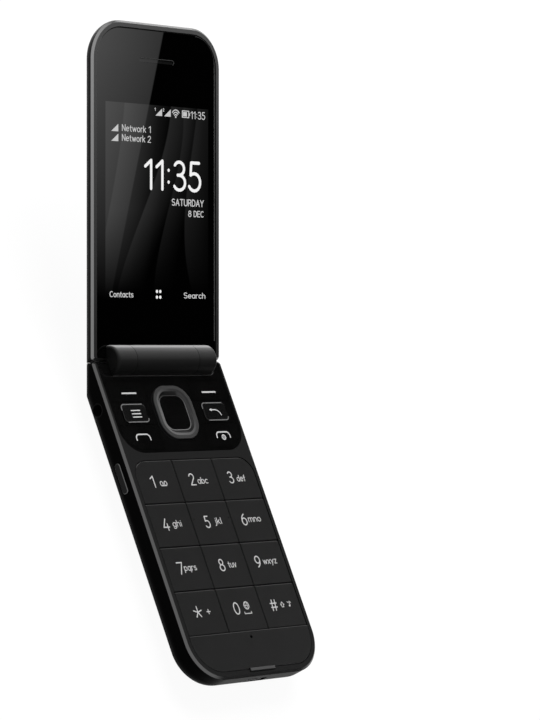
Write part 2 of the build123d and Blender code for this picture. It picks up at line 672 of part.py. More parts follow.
def nav_carrier():
    """Thin carrier under the ring; it tilts one way and the ring tilts the other way on it."""
    body = slab(ring_outline(-CARRIER_MARGIN), CARRIER_TOP, CARRIER_BOTTOM)
    return body - slab(well_outline(CARRIER_BORE), 0, BASE_BACK)


def plunger(x, u):
    """Small post under a key that presses its dome."""
    return post(PLUNGER_RADIUS, x, u, KEY_BOTTOM, KEY_BOTTOM + PLUNGER_LENGTH)


def centre_key():
    """Select key inside the ring."""
    body = slab(well_outline(-KEY_SEAM), WELL_TOP - CENTRE_LIFT, KEY_BOTTOM)
    return chamfer(front_edges(body), CENTRE_BEVEL) + plunger(0, RING_CENTRE)


def number_key(row, column):
    """One key of the keypad; the two top corner keys follow the keypad's rounded corners."""
    near = KEYPAD_NEAR + row * KEY_PITCH + KEY_GAP / 2
    far = near + KEY_PITCH - KEY_GAP
    middle = (column - 1) * KEY_COLUMN
    half = (KEY_COLUMN - KEY_GAP) / 2
    face = panel(half, near, far, centre=middle)
    corners = face.vertices()
    if row == 0 and column != 1:
        big = corners.group_by(Axis.Y)[-1].sort_by(Axis.X)[0 if column == 0 else -1]
        face = fillet(big, KEYPAD_CORNER - KEY_GAP / 2)
        corners = [v for v in face.vertices() if is_corner(v, middle, half, near, far)]
    key = slab(fillet(corners, KEY_CORNER), FRONT, KEY_BOTTOM)
    return chamfer(front_edges(key), KEY_EDGE) + plunger(middle, (near + far) / 2)


def is_corner(vertex, middle, half, near, far):
    """True for an outline's vertex that is still one of its plain corners."""
    on_side = abs(abs(vertex.X - middle) - half) < STACK_GAP
    return on_side and min(abs(vertex.Y + near), abs(vertex.Y + far)) < STACK_GAP


KEY_NAMES = (("key_1", "key_2", "key_3"), ("key_4", "key_5", "key_6"),
             ("key_7", "key_8", "key_9"), ("key_star", "key_0", "key_hash"))


def number_keys():
    """All twelve number keys by name."""
    return {name: number_key(row, column)
            for row, names in enumerate(KEY_NAMES) for column, name in enumerate(names)}


def wall_key(length, u, lip_play, lip_depth):
    """Key in the right wall: a rounded bar through the slot, and a lip behind the wall."""
    lip_outer = INNER - lip_play
    lip_inner = lip_outer - lip_depth
    root = (lip_inner + lip_outer) / 2
    near, far = u - length / 2, u + length / 2
    bar = brick(root, HALF + SIDE_KEY_LIFT, near, far, SLOT_TOP, SLOT_BOTTOM)
    bar = fillet(bar.edges().filter_by(Axis.X), SIDE_KEY_ROUND)
    bar = chamfer(bar.faces().sort_by(Axis.X)[-1].edges(), SIDE_KEY_BEVEL)
    return bar + brick(lip_inner, lip_outer, near - SIDE_LIP, far + SIDE_LIP, LIP_TOP, SLOT_BOTTOM)


def side_key():
    """Sliding key in the left wall."""
    return mirror(wall_key(SIDE_KEY_LENGTH, SIDE_KEY_FROM_AXIS, LIP_PLAY, SIDE_LIP),
                  about=Plane.YZ)


def volume_rocker():
    """Rocking key in the right wall; it turns about its middle."""
    swing = (ROCKER_LENGTH / 2 + SIDE_LIP) * sin(radians(ROCKER_TILT))
    return wall_key(ROCKER_LENGTH, ROCKER_FROM_AXIS, LIP_PLAY + swing, ROCKER_LIP)


# ---- Base: inside --------------------------------------------------------------------------------
def post_notches():
    """Clearance round the four screw posts, at every depth."""
    holes = [post(BOSS_RADIUS + BOSS_CLEARANCE, x, u, 0, FAR) for x, u in screw_places()]
    return holes[0] + holes[1] + holes[2] + holes[3]


def dome_sheet():
    """Plastic sheet with the key domes, on the front of the board."""
    body = slab(panel(INNER - BOARD_MARGIN, BOARD_NEAR, KEYPAD_FAR), SHEET_TOP, BOARD_TOP)
    return body - post_notches()


def main_board():
    """Circuit board."""
    outline = panel(INNER - BOARD_MARGIN, BOARD_NEAR, CAVITY_FAR - BOARD_MARGIN,
                    far_corner=INNER_CORNER - BOARD_MARGIN)
    body = slab(outline, BOARD_TOP, BOARD_BOTTOM)
    return body - post_notches() - jack_room() - post(MIC_HOLE, 0, MIC_FROM_AXIS, 0, FAR)


def shield_cans():
    """Steel cans over the radio and the processor, on the rear of the board."""
    first_far = CAN_NEAR + CAN_LENGTH
    cans = [slab(panel(CAN_WIDTH / 2, near, far, CAN_CORNER, CAN_CORNER),
                 BOARD_BOTTOM, BOARD_BOTTOM + CAN_HEIGHT)
            for near, far in ((CAN_NEAR, first_far), (first_far + CAN_GAP, REACH - CAN_END))]
    return cans[0] + cans[1]


def battery():
    """Flat removable battery."""
    body = slab(panel(BATTERY_HALF, BATTERY_NEAR, BATTERY_FAR), BATTERY_TOP, BATTERY_BOTTOM)
    return fillet(body.edges().filter_by(Axis.Y), BATTERY_EDGE)


def battery_contacts():
    """Connector block with three spring blades at the battery's end."""
    half = CONTACT_WIDTH / 2
    bottom = MID_BOTTOM + CONTACT_HEIGHT
    body = brick(-half, half, CONTACT_NEAR + BLADE_REACH,
                 CONTACT_NEAR + BLADE_REACH + CONTACT_DEPTH, MID_BOTTOM, bottom)
    for column in (-1, 0, 1):
        x = column * CONTACT_PITCH
        body += brick(x - BLADE_WIDTH / 2, x + BLADE_WIDTH / 2, CONTACT_NEAR,
                      CONTACT_NEAR + CONTACT_DEPTH, MID_BOTTOM + CONTACT_HEIGHT / 3,
                      bottom - CONTACT_HEIGHT / 4)
    return body


def loudspeaker():
    """Loudspeaker that faces the holes in the battery cover."""
    reach = SPEAKER_LENGTH / 2
    outline = panel(SPEAKER_WIDTH / 2, SPEAKER_FROM_AXIS - reach, SPEAKER_FROM_AXIS + reach,
                    SPEAKER_CORNER, SPEAKER_CORNER, SPEAKER_CENTRE)
    return slab(outline, MID_BOTTOM, BATTERY_BOTTOM)


def vibration_motor():
    """Small round motor, bored for its shaft."""
    depth = MID_BOTTOM + MOTOR_RADIUS
    can = rod(MOTOR_RADIUS, MOTOR_LEFT, MOTOR_LEFT + MOTOR_LENGTH, SPEAKER_FROM_AXIS, depth)
    return can - rod(SHAFT_RADIUS + SHAFT_CLEARANCE, MOTOR_LEFT + MOTOR_LENGTH / 2,
                     MOTOR_LEFT + 2 * MOTOR_LENGTH, SPEAKER_FROM_AXIS, depth)


def motor_weight():
    """The motor's shaft with its off-centre weight."""
    depth = MID_BOTTOM + MOTOR_RADIUS
    left = MOTOR_LEFT + MOTOR_LENGTH + WEIGHT_GAP
    right = left + WEIGHT_LENGTH
    weight = rod(WEIGHT_RADIUS, left, right, SPEAKER_FROM_AXIS, depth)
    weight -= brick(left, right, SPEAKER_FROM_AXIS, REACH, 0, FAR)
    shaft_left = MOTOR_LEFT + MOTOR_LENGTH / 2 + STACK_GAP
    return weight + rod(SHAFT_RADIUS, shaft_left, right, SPEAKER_FROM_AXIS, depth)


def sim_holder():
    """Metal holder for two cards, reached under the battery cover."""
    left, right = SIM_CENTRE - SIM_WIDTH / 2, SIM_CENTRE + SIM_WIDTH / 2
    bottom = MID_BOTTOM + SIM_THICKNESS
    body = brick(left, right, SIM_NEAR, SIM_NEAR + SIM_LENGTH, MID_BOTTOM, bottom)
    for start in (left, SIM_CENTRE):
        body -= brick(start + SIM_RIB, start + SIM_WIDTH / 2 - SIM_RIB, SIM_NEAR + SIM_RIB,
                      SIM_NEAR + SIM_LENGTH + SIM_RIB, MID_BOTTOM + SIM_WALL, bottom - SIM_WALL)
    return body


def board_parts():
    """Microphone and side switches, soldered to the rear of the board."""
    half = MIC_WIDTH / 2
    pieces = brick(-half, half, MIC_FROM_AXIS - MIC_LENGTH / 2, MIC_FROM_AXIS + MIC_LENGTH / 2,
                   BOARD_BOTTOM, BOARD_BOTTOM + MIC_HEIGHT)
    for side, u in ((-1, SIDE_KEY_FROM_AXIS), (1, ROCKER_FROM_AXIS - ROCKER_SWITCH),
                    (1, ROCKER_FROM_AXIS + ROCKER_SWITCH)):
        ends = sorted((side * SWITCH_FACE, side * (SWITCH_FACE - SWITCH_DEPTH)))
        pieces += brick(ends[0], ends[1], u - SWITCH_LENGTH / 2, u + SWITCH_LENGTH / 2,
                        BOARD_BOTTOM, BOARD_BOTTOM + SWITCH_HEIGHT)
    return pieces


def usb_connector():
    """Charging socket: a metal mouth with a tongue inside."""
    tongue_width, tongue_height = USB_TONGUE
    middle = USB_TOP + USB_HEIGHT / 2
    half = USB_WIDTH / 2 - USB_WALL
    mouth = brick(-half, half, USB_FAR - USB_LENGTH + USB_WALL, REACH,
                  USB_TOP + USB_WALL, USB_TOP + USB_HEIGHT - USB_WALL)
    tongue = brick(-tongue_width / 2, tongue_width / 2, USB_FAR - USB_LENGTH,
                   USB_FAR - USB_TONGUE_SINK, middle - tongue_height / 2,
                   middle + tongue_height / 2)
    return usb_block(0, 0, USB_FAR) - mouth + tongue


def audio_jack():
    """Headset socket with its round sleeve in the left wall."""
    outer = JACK_SINK - HALF
    inner = JACK_DEPTH - HALF
    half = JACK_BODY / 2
    body = brick(JACK_SINK - INNER, inner, JACK_FROM_AXIS - half, JACK_FROM_AXIS + half,
                 JACK_MIDDLE - JACK_SLEEVE, JACK_MIDDLE + JACK_SLEEVE)
    body += rod(JACK_SLEEVE, outer, RIM - INNER, JACK_FROM_AXIS, JACK_MIDDLE)
    return body - rod(JACK_RADIUS, outer - RIM, inner - JACK_END, JACK_FROM_AXIS, JACK_MIDDLE)


def base_screws():
    """The four screws, driven from the battery side."""
    pieces = []
    width, slot, sink = SCREW_CROSS
    for x, u in screw_places():
        bottom = MID_BOTTOM + SCREW_HEAD_HEIGHT
        head = post(SCREW_HEAD, x, u, MID_BOTTOM, bottom)
        head -= Pos(x, -u, -bottom) * (Box(width, slot, sink) + Box(slot, width, sink))
        pieces.append(head + post(SCREW_RADIUS, x, u, FRONT_WALL + BOSS_CLEARANCE, MID_BOTTOM))
    return pieces[0] + pieces[1] + pieces[2] + pieces[3]


# ---- Hinge ---------------------------------------------------------------------------------------
BARREL_END = BARREL_LENGTH / 2
CAP_SEAT = BARREL_END - CAP_THICKNESS - STACK_GAP       # inner face of both cap recesses
CARTRIDGE_END = CARTRIDGE_LENGTH + STACK_GAP - CAP_SEAT
PIVOT_START = CAP_SEAT - STACK_GAP - PIVOT_LENGTH


def outer_knuckle(side):
    """Knuckle that belongs to the base, with its tongue and a seat for the end cap."""
    ends = sorted((side * (CENTRE_KNUCKLE / 2 + KNUCKLE_GAP), side * BARREL_END))
    body = rod(BARREL_RADIUS, ends[0], ends[1])
    body = fillet(body.faces().sort_by(Axis.X)[-1 if side > 0 else 0].edges(), BARREL_EDGE)
    recess = sorted((side * CAP_SEAT, side * BARREL_LENGTH))
    body += web(OUTER_WEB_LENGTH, side * OUTER_WEB_X)
    return body - rod(BARREL_RADIUS - CAP_LIP + CAP_GAP, recess[0], recess[1])


def hinge_knuckle_left():
    """Left outer knuckle, bored for the spring cartridge."""
    return outer_knuckle(-1) - rod(CARTRIDGE_RADIUS + PIVOT_CLEARANCE, -BARREL_END, 0)


def hinge_knuckle_right():
    """Right outer knuckle, bored for the plain pivot."""
    return outer_knuckle(1) - rod(PIVOT_RADIUS + PIVOT_CLEARANCE, 0, BARREL_END)


def hinge_cartridge():
    """Spring cartridge that clicks the lid open and shut."""
    body = rod(CARTRIDGE_RADIUS, STACK_GAP - CAP_SEAT, CARTRIDGE_END)
    return chamfer(body.edges().filter_by(GeomType.CIRCLE), PIN_BEVEL)


def hinge_pivot():
    """Plain pivot pin at the other end."""
    body = rod(PIVOT_RADIUS, PIVOT_START, CAP_SEAT - STACK_GAP)
    return chamfer(body.edges().filter_by(GeomType.CIRCLE), PIN_BEVEL)


def hinge_end_caps():
    """Disc in each end of the barrel."""
    outer = BARREL_END - CAP_SINK
    return both_sides(rod(BARREL_RADIUS - CAP_LIP, outer - CAP_THICKNESS, outer))


def hinge_knuckle_centre():
    """The lid's knuckle, with bores for cartridge, flex cable and pivot."""
    half = CENTRE_KNUCKLE / 2
    body = rod(BARREL_RADIUS, -half, half) + web(CENTRE_WEB_LENGTH, 0)
    body -= rod(CARTRIDGE_RADIUS + PIVOT_CLEARANCE, -BARREL_LENGTH, CARTRIDGE_END + FLEX_PLAY)
    body -= rod(FLEX_RADIUS + FLEX_PLAY, CARTRIDGE_END, PIVOT_START)
    return body - rod(PIVOT_RADIUS + PIVOT_CLEARANCE, PIVOT_START - FLEX_PLAY, BARREL_LENGTH)


def hinge_flex_roll():
    """Flex cable rolled up inside the lid's knuckle, which carries it."""
    body = rod(FLEX_RADIUS, CARTRIDGE_END + FLEX_GAP, PIVOT_START - FLEX_GAP)
    return body - rod(FLEX_RADIUS - FLEX_WALL, -BARREL_LENGTH, BARREL_LENGTH)


# ---- Lid -----------------------------------------------------------------------------------------
def lid_glass_outline(margin):
    """Outline of the inner glass, grown by a margin."""
    return panel(GLASS_HALF + margin, GLASS_NEAR - margin, GLASS_FAR + margin,
                 HINGE_CORNER / 2, INNER_CORNER - GLASS_MARGIN + margin)


def earpiece_slot(shrink, top, bottom):
    """Rounded slot for the earpiece."""
    face = SlotOverall(EARPIECE_SLOT - 2 * shrink, EARPIECE_SLOT_WIDTH - 2 * shrink)
    return slab(Pos(0, -EARPIECE_FROM_AXIS) * face, top, bottom)


def lid_inner_frame():
    """Front frame of the lid: the bevelled rim and the ledge that the glass is glued to."""
    body = LID_BODY & brick(*EVERYTHING, -FAR, LID_PARTING)
    body -= slab(lid_glass_outline(GLASS_MARGIN), -FRONT, GLASS_BOTTOM + STACK_GAP)
    body -= slab(panel(DISPLAY_HALF + DISPLAY_PLAY, WEB_END, CAVITY_FAR - RIM,
                       far_corner=INNER_CORNER - RIM), FRONT, FAR)
    return body - barrel_void()


def inner_glass():
    """Cover glass over the main display, with the earpiece slot."""
    body = slab(lid_glass_outline(0), GLASS_TOP, GLASS_BOTTOM)
    return body - barrel_void() - earpiece_slot(0, 0, LID_BACK)


def camera_holes(play, top):
    """Holes for the camera window and the flash window."""
    lens = post(CAMERA_WINDOW + play, 0, CAMERA_FROM_AXIS, top, FAR)
    return lens + post(FLASH_WINDOW + play, FLASH_OFFSET, CAMERA_FROM_AXIS, top, FAR)


def outer_panel_zone(margin):
    """Room taken by the glossy panel, seen from outside, grown by a margin."""
    end = END_GAP / 2 - LID_BACK * sin(radians(MITRE)) / cos(radians(MITRE))
    outline = panel(HALF - OUTER_PANEL_SIDE + margin, end + OUTER_PANEL_END - margin,
                    OUTER_PANEL_FAR + margin, far_corner=OUTER_PANEL_CORNER + margin)
    return slab(outline, LID_PARTING + OUTER_PANEL_RIM, FAR)


def outer_display_block(play, top, bottom):
    """Block of the small outer display, grown by some play."""
    reach = OUTER_DISPLAY_SIZE / 2 + play
    return brick(-reach, reach, OUTER_DISPLAY_FROM_AXIS - reach,
                 OUTER_DISPLAY_FROM_AXIS + reach, top, bottom)


def lid_outer_shell():
    """Matte outer shell, hollow inside, with a recess for the glossy panel."""
    body = LID_BODY & brick(*EVERYTHING, LID_PARTING + SEAM, FAR)
    body -= lid_block(RIM, LID_FLOOR) & brick(-WIDTH, WIDTH, CAVITY_NEAR, REACH, -FAR, FAR)
    thickness = OUTER_PANEL_THICKNESS + OUTER_PANEL_GAP
    body -= outer_panel_zone(OUTER_PANEL_GAP) - lid_block(thickness, LID_BACK - thickness)
    body -= barrel_void()
    body -= web(CENTRE_WEB_LENGTH, 0, WEB_CLEARANCE)
    body -= outer_display_block(DISPLAY_PLAY, LID_PARTING, FAR)
    return body - camera_holes(SEAM, LID_PARTING)


def outer_panel():
    """Glossy panel that wraps over the lid's sides, from the hinge end to past its middle."""
    body = LID_BODY & outer_panel_zone(0)
    body -= lid_block(OUTER_PANEL_THICKNESS, OUTER_PANEL_TOP)
    return body - barrel_void() - camera_holes(SEAM, FRONT)


def outer_display():
    """Small display behind the glossy panel."""
    bottom = OUTER_PANEL_TOP - STACK_GAP
    return outer_display_block(0, bottom - OUTER_DISPLAY_THICKNESS, bottom)


def main_display():
    """Large display behind the inner glass."""
    return slab(panel(DISPLAY_HALF, DISPLAY_NEAR, REACH - DISPLAY_END), DISPLAY_TOP,
                DISPLAY_TOP + DISPLAY_THICKNESS)


def lid_board():
    """Small circuit board behind the main display."""
    outline = panel(LID_BOARD_WIDTH / 2, WEB_END + BOARD_NEAR_GAP, LID_BOARD_FAR,
                    CAN_CORNER, CAN_CORNER)
    return slab(outline, LID_BOARD_TOP, LID_BOARD_BOTTOM)


def camera_module():
    """Camera with its round lens barrel, behind the camera window."""
    half = CAMERA_BODY / 2
    body = brick(-half, half, CAMERA_FROM_AXIS - half, CAMERA_FROM_AXIS + half,
                 LID_BOARD_BOTTOM, LID_FLOOR - STACK_GAP)
    return body + post(CAMERA_LENS, 0, CAMERA_FROM_AXIS, LID_BOARD_BOTTOM, OUTER_PANEL_TOP)


def camera_window():
    """Small round camera window flush with the glossy panel, and the flash window beside it."""
    back = LID_BACK - WINDOW_SINK
    body = post(CAMERA_WINDOW, 0, CAMERA_FROM_AXIS, back - WINDOW_THICKNESS, back)
    return body + post(FLASH_WINDOW, FLASH_OFFSET, CAMERA_FROM_AXIS, back - FLASH_DEPTH, back)


def earpiece():
    """Earpiece: mesh in the glass slot and the receiver behind it."""
    reach = RECEIVER_LENGTH / 2
    body = slab(panel(RECEIVER_WIDTH / 2, EARPIECE_FROM_AXIS - reach, EARPIECE_FROM_AXIS + reach,
                      RECEIVER_CORNER, RECEIVER_CORNER), DISPLAY_TOP, DISPLAY_TOP + RECEIVER_THICKNESS)
    return body + earpiece_slot(MESH_PLAY, GLASS_TOP + MESH_SINK, DISPLAY_TOP)


def closing_magnet():
    """Magnet near the lid's tip that tells the phone when it is shut."""
    width, length, thickness = MAGNET_SIZE
    return brick(-width / 2, width / 2, MAGNET_FROM_AXIS - length / 2,
                 MAGNET_FROM_AXIS + length / 2, DISPLAY_TOP, DISPLAY_TOP + thickness)


# ---- Writing the pieces --------------------------------------------------------------------------
BASE_PIECES = {
    "front_frame": front_frame(),
    "battery_cover": battery_cover(),
    "mid_frame": mid_frame(),
    "function_plate": function_plate(),
    "keypad_end_panel": keypad_end_panel(),
    "lid_rest_strip": lid_rest_strip(),
    "nav_ring": nav_ring(),
    "nav_carrier": nav_carrier(),
    "centre_key": centre_key(),
    "side_key": side_key(),
    "volume_rocker": volume_rocker(),
    "dome_sheet": dome_sheet(),
    "main_board": main_board(),
    "shield_cans": shield_cans(),
    "battery": battery(),
    "battery_contacts": battery_contacts(),
    "loudspeaker": loudspeaker(),
    "vibration_motor": vibration_motor(),
    "motor_weight": motor_weight(),
    "sim_holder": sim_holder(),
    "board_parts": board_parts(),
    "usb_connector": usb_connector(),
    "audio_jack": audio_jack(),
    "base_screws": base_screws(),
    "hinge_knuckle_left": hinge_knuckle_left(),
    "hinge_knuckle_right": hinge_knuckle_right(),
    "hinge_end_caps": hinge_end_caps(),
    "hinge_cartridge": hinge_cartridge(),
    "hinge_pivot": hinge_pivot(),
    **function_keys(),
    **number_keys(),
}

LID_PIECES = {
    "hinge_knuckle_centre": hinge_knuckle_centre(),
    "hinge_flex_roll": hinge_flex_roll(),
    "lid_inner_frame": lid_inner_frame(),
    "inner_glass": inner_glass(),
    "lid_outer_shell": lid_outer_shell(),
    "outer_panel": outer_panel(),
    "outer_display": outer_display(),
    "main_display": main_display(),
    "lid_board": lid_board(),
    "camera_module": camera_module(),
    "camera_window": camera_window(),
    "earpiece": earpiece(),
    "closing_magnet": closing_magnet(),
}

os.makedirs("parts", exist_ok=True)
for name, piece in BASE_PIECES.items():
    export_step(AT_HINGE * piece, f"parts/{name}.step")
for name, piece in LID_PIECES.items():
    open_piece = Rot(LEAN, 0, 0) * mirror(piece, about=Plane.XZ)
    export_step(AT_HINGE * open_piece, f"parts/{name}.step")
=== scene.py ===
from math import cos, pi, radians, sin

import bmesh
import bpy
from mathutils import Matrix, Vector


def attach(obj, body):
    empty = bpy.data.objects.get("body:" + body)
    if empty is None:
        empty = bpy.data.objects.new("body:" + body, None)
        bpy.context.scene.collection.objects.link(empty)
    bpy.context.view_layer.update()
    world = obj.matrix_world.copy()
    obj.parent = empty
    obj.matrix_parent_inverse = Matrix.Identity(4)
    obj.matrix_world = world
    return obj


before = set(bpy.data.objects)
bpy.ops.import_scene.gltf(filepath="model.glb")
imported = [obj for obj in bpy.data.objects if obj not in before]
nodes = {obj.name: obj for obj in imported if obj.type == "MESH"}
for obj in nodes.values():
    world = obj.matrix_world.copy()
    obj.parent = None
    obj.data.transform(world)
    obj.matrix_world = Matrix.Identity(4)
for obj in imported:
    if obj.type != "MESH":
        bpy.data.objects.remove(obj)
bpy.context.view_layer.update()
scene = bpy.context.scene

# ---- Camera --------------------------------------------------------------------------------------
# A long lens on a tripod looks down on the keypad half from its left front corner. Nothing is
# shifted or blurred, and the phone lies at its real place under it.
MM = 0.001
CAMERA_PLACE = Vector((-640.472, -218.587, 583.510)) * MM
CAMERA_TURN = [radians(angle) for angle in (35.0086, -41.7261, -25.1741)]
CAMERA_LENS = 150.531

camera_data = bpy.data.cameras.new("camera")
camera_data.lens = CAMERA_LENS
camera_data.clip_start = 0.05
camera = bpy.data.objects.new("camera", camera_data)
camera.location = CAMERA_PLACE
camera.rotation_euler = CAMERA_TURN
scene.collection.objects.link(camera)
scene.camera = camera
scene.view_settings.view_transform = "Standard"


# ---- Studio --------------------------------------------------------------------------------------
# The phone lies on a wide white table, and a large soft box behind and above it gives the light.
# A white tent shows in its polished faces, up to a straight edge overhead; past that edge the
# room is dark, but for a low box behind the phone and a small one at its right.
def new_node(tree, kind, **settings):
    """One shader node with its settings; its inputs are named with their spaces as underscores."""
    made = tree.nodes.new(kind)
    for name, value in settings.items():
        if hasattr(made, name):
            setattr(made, name, value)
        else:
            made.inputs[name.replace("_", " ")].default_value = value
    return made


def empty_tree(owner):
    """The bare node tree of a material or of the room."""
    owner.use_nodes = True
    owner.node_tree.nodes.clear()
    return owner.node_tree


def map_to(tree, source, low, high, from_low=0.0, from_high=1.0):
    """Spreads a value's range over low to high."""
    spread = tree.nodes.new("ShaderNodeMapRange")
    spread.inputs["From Min"].default_value = from_low
    spread.inputs["From Max"].default_value = from_high
    spread.inputs["To Min"].default_value = low
    spread.inputs["To Max"].default_value = high
    tree.links.new(source, spread.inputs["Value"])
    return spread.outputs["Result"]


def do_math(tree, operation, *values):
    """One sum on two or three values, each a socket or a plain number."""
    made = new_node(tree, "ShaderNodeMath", operation=operation)
    for socket, value in zip(made.inputs, values):
        if isinstance(value, (int, float)):
            socket.default_value = value
        else:
            tree.links.new(value, socket)
    return made.outputs[0]


TABLE_HALF = 8.0
TABLE_PALE = 0.08
TABLE_GLOW = 0.95

table_mesh = bpy.data.meshes.new("table_top")
table_mesh.from_pydata(
    [(x * TABLE_HALF, y * TABLE_HALF, 0) for x, y in ((-1, -1), (1, -1), (1, 1), (-1, 1))],
    [],
    [(0, 1, 2, 3)],
)
table_top = bpy.data.objects.new("table_top", table_mesh)
scene.collection.objects.link(table_top)

table_white = bpy.data.materials.new("table_white")
tree = empty_tree(table_white)
output = tree.nodes.new("ShaderNodeOutputMaterial")
matt = new_node(tree, "ShaderNodeBsdfDiffuse", Color=(TABLE_PALE, TABLE_PALE, TABLE_PALE, 1))
glow = new_node(tree, "ShaderNodeEmission", Color=(1, 1, 1, 1), Strength=TABLE_GLOW)
path = tree.nodes.new("ShaderNodeLightPath")
seen = do_math(tree, "MAXIMUM", path.outputs["Is Camera Ray"], path.outputs["Is Glossy Ray"])
seen = do_math(tree, "MAXIMUM", seen, path.outputs["Is Transmission Ray"])
both = tree.nodes.new("ShaderNodeAddShader")
table_finish = tree.nodes.new("ShaderNodeMixShader")
tree.links.new(matt.outputs[0], both.inputs[0])
tree.links.new(glow.outputs[0], both.inputs[1])
tree.links.new(seen, table_finish.inputs[0])
tree.links.new(matt.outputs[0], table_finish.inputs[1])
tree.links.new(both.outputs[0], table_finish.inputs[2])
tree.links.new(table_finish.outputs[0], output.inputs["Surface"])
table_mesh.materials.append(table_white)

TENT_SIDE = (-0.7021, -0.1193, 0.7020)   # square to the plane of the tent's edge
TENT_SHARP = 0.0002                      # half of the edge's blur
TENT_DIM, TENT_BRIGHT = 0.6, 1.38        # the cloth's light at the edge, and past its roll
TENT_ROLL = 0.022                        # from the edge to where the cloth is fully lit
TENT_SHADE = (-0.293, -0.216)            # the rolled cloth is in shade towards the front
TENT_KNEE = (0.31, 0.47)                 # so far into the shade the cloth has that much light
SHADE_ENDS = (1.5 * TENT_ROLL, 5 * TENT_ROLL)
ROOM_DARK = 0.004
ROOM_FILL = 0.16                         # even light on all that isn't polished

room = bpy.data.worlds.new("room")
scene.world = room
room.cycles.sampling_method = "NONE"
tree = empty_tree(room)
output = tree.nodes.new("ShaderNodeOutputWorld")
sky = tree.nodes.new("ShaderNodeBackground")
direction = tree.nodes.new("ShaderNodeTexCoord").outputs["Generated"]
side = new_node(tree, "ShaderNodeVectorMath", operation="DOT_PRODUCT")
side.inputs[1].default_value = TENT_SIDE
parts = tree.nodes.new("ShaderNodeSeparateXYZ")
tree.links.new(direction, side.inputs[0])
tree.links.new(direction, parts.inputs[0])
inside = side.outputs["Value"]
edge = map_to(tree, inside, 0, 1, -TENT_SHARP, TENT_SHARP)
cloth = map_to(tree, inside, TENT_DIM, TENT_BRIGHT, 0, TENT_ROLL)
shade = tree.nodes.new("ShaderNodeValToRGB")
shade.color_ramp.elements.new(TENT_KNEE[0]).color = (*[TENT_KNEE[1]] * 3, 1)
tree.links.new(map_to(tree, parts.outputs["Y"], 0, 1, *TENT_SHADE), shade.inputs["Fac"])
beyond = map_to(tree, inside, 0, 1, *SHADE_ENDS)
lit = do_math(tree, "MULTIPLY", cloth, do_math(tree, "MAXIMUM", shade.outputs["Color"], beyond))
tent = do_math(tree, "MULTIPLY_ADD", lit, edge, ROOM_DARK)
path = tree.nodes.new("ShaderNodeLightPath")
shown = new_node(tree, "ShaderNodeMix", data_type="FLOAT")
shown.inputs["B"].default_value = ROOM_FILL
tree.links.new(path.outputs["Is Diffuse Ray"], shown.inputs["Factor"])
tree.links.new(tent, shown.inputs["A"])
tree.links.new(shown.outputs[0], sky.inputs["Color"])
tree.links.new(sky.outputs[0], output.inputs["Surface"])


def add_softbox(name, azimuth, elevation, distance, width, height, radiance, mirrored=True):
    """A soft box that faces the phone; azimuth 0 is behind it, and 90 at its right. One that
    isn't mirrored hangs behind cloth, so that no polished face shows it."""
    data = bpy.data.lights.new(name, "AREA")
    data.shape = "RECTANGLE"
    data.size, data.size_y = width, height
    data.energy = radiance * pi * width * height
    turn, rise = radians(azimuth), radians(elevation)
    place = Vector((cos(rise) * sin(turn), cos(rise) * cos(turn), sin(rise))) * distance
    box = bpy.data.objects.new(name, data)
    box.location = place
    box.rotation_euler = (-place).to_track_quat("-Z", "Y").to_euler()
    box.visible_glossy = mirrored
    scene.collection.objects.link(box)


add_softbox("main_box", 12, 50, 1.3, 0.8, 0.8, 8.5, mirrored=False)
add_softbox("rear_box", 50, 17, 1.2, 0.7, 0.3, 3.0)
add_softbox("right_box", 84, 34, 1.2, 0.22, 0.22, 6.0)


# ---- Front frame of the keypad half --------------------------------------------------------------
# One moulding of black polycarbonate with a fine spark-eroded grain: rim, side walls and the bar
# between the key groups. The bevel round its front edge is cut bright and left bare.
def grey(level):
    """A neutral grey from its level on a screen, 0 to 255."""
    share = min(level, 255) / 255
    light = share / 12.92 if share <= 0.04045 else ((share + 0.055) / 1.055) ** 2.4
    return (light, light, light, 1)


def new_finish(name):
    """A new material, its tree and its shader."""
    material = bpy.data.materials.new(name)
    material.use_nodes = True
    tree = material.node_tree
    return material, tree, tree.nodes["Principled BSDF"]


def noise_over(tree, grains, detail, stretch=None):
    """Noise over a piece, with so many grains to the metre."""
    place = tree.nodes.new("ShaderNodeTexCoord").outputs["Object"]
    if stretch:
        stretched = new_node(tree, "ShaderNodeMapping", Scale=stretch)
        tree.links.new(place, stretched.inputs["Vector"])
        place = stretched.outputs["Vector"]
    noise = new_node(tree, "ShaderNodeTexNoise", Scale=grains, Detail=detail)
    tree.links.new(place, noise.inputs["Vector"])
    return noise.outputs["Fac"]


def how_squarely(tree, way):
    """How squarely each face turns to that way of its piece, up to 1."""
    place = tree.nodes.new("ShaderNodeTexCoord")
    facing = new_node(tree, "ShaderNodeVectorMath", operation="DOT_PRODUCT")
    facing.inputs[1].default_value = way
    tree.links.new(place.outputs["Normal"], facing.inputs[0])
    return facing.outputs["Value"]


def grey_ramp(tree, source, *stops):
    """A grey that follows a value. Each stop is a value and the grey's level there."""
    ramp = tree.nodes.new("ShaderNodeValToRGB")
    elements = ramp.color_ramp.elements
    for element, (position, level) in zip(elements, (stops[0], stops[-1])):
        element.position = position
        element.color = grey(level)
    for position, level in stops[1:-1]:
        elements.new(position).color = grey(level)
    tree.links.new(source, ramp.inputs["Fac"])
    return ramp.outputs["Color"]


def bump(tree, height, strength, depth, rounding):
    """Bumps the face by that height, and wears its edges to that radius in millimetres."""
    bumped = new_node(tree, "ShaderNodeBump", Strength=strength, Distance=depth)
    tree.links.new(height, bumped.inputs["Height"])
    if rounding:
        glint_line = new_node(tree, "ShaderNodeBevel", samples=6, Radius=rounding * MM)
        tree.links.new(glint_line.outputs["Normal"], bumped.inputs["Normal"])
    tree.links.new(bumped.outputs["Normal"], tree.nodes["Principled BSDF"].inputs["Normal"])


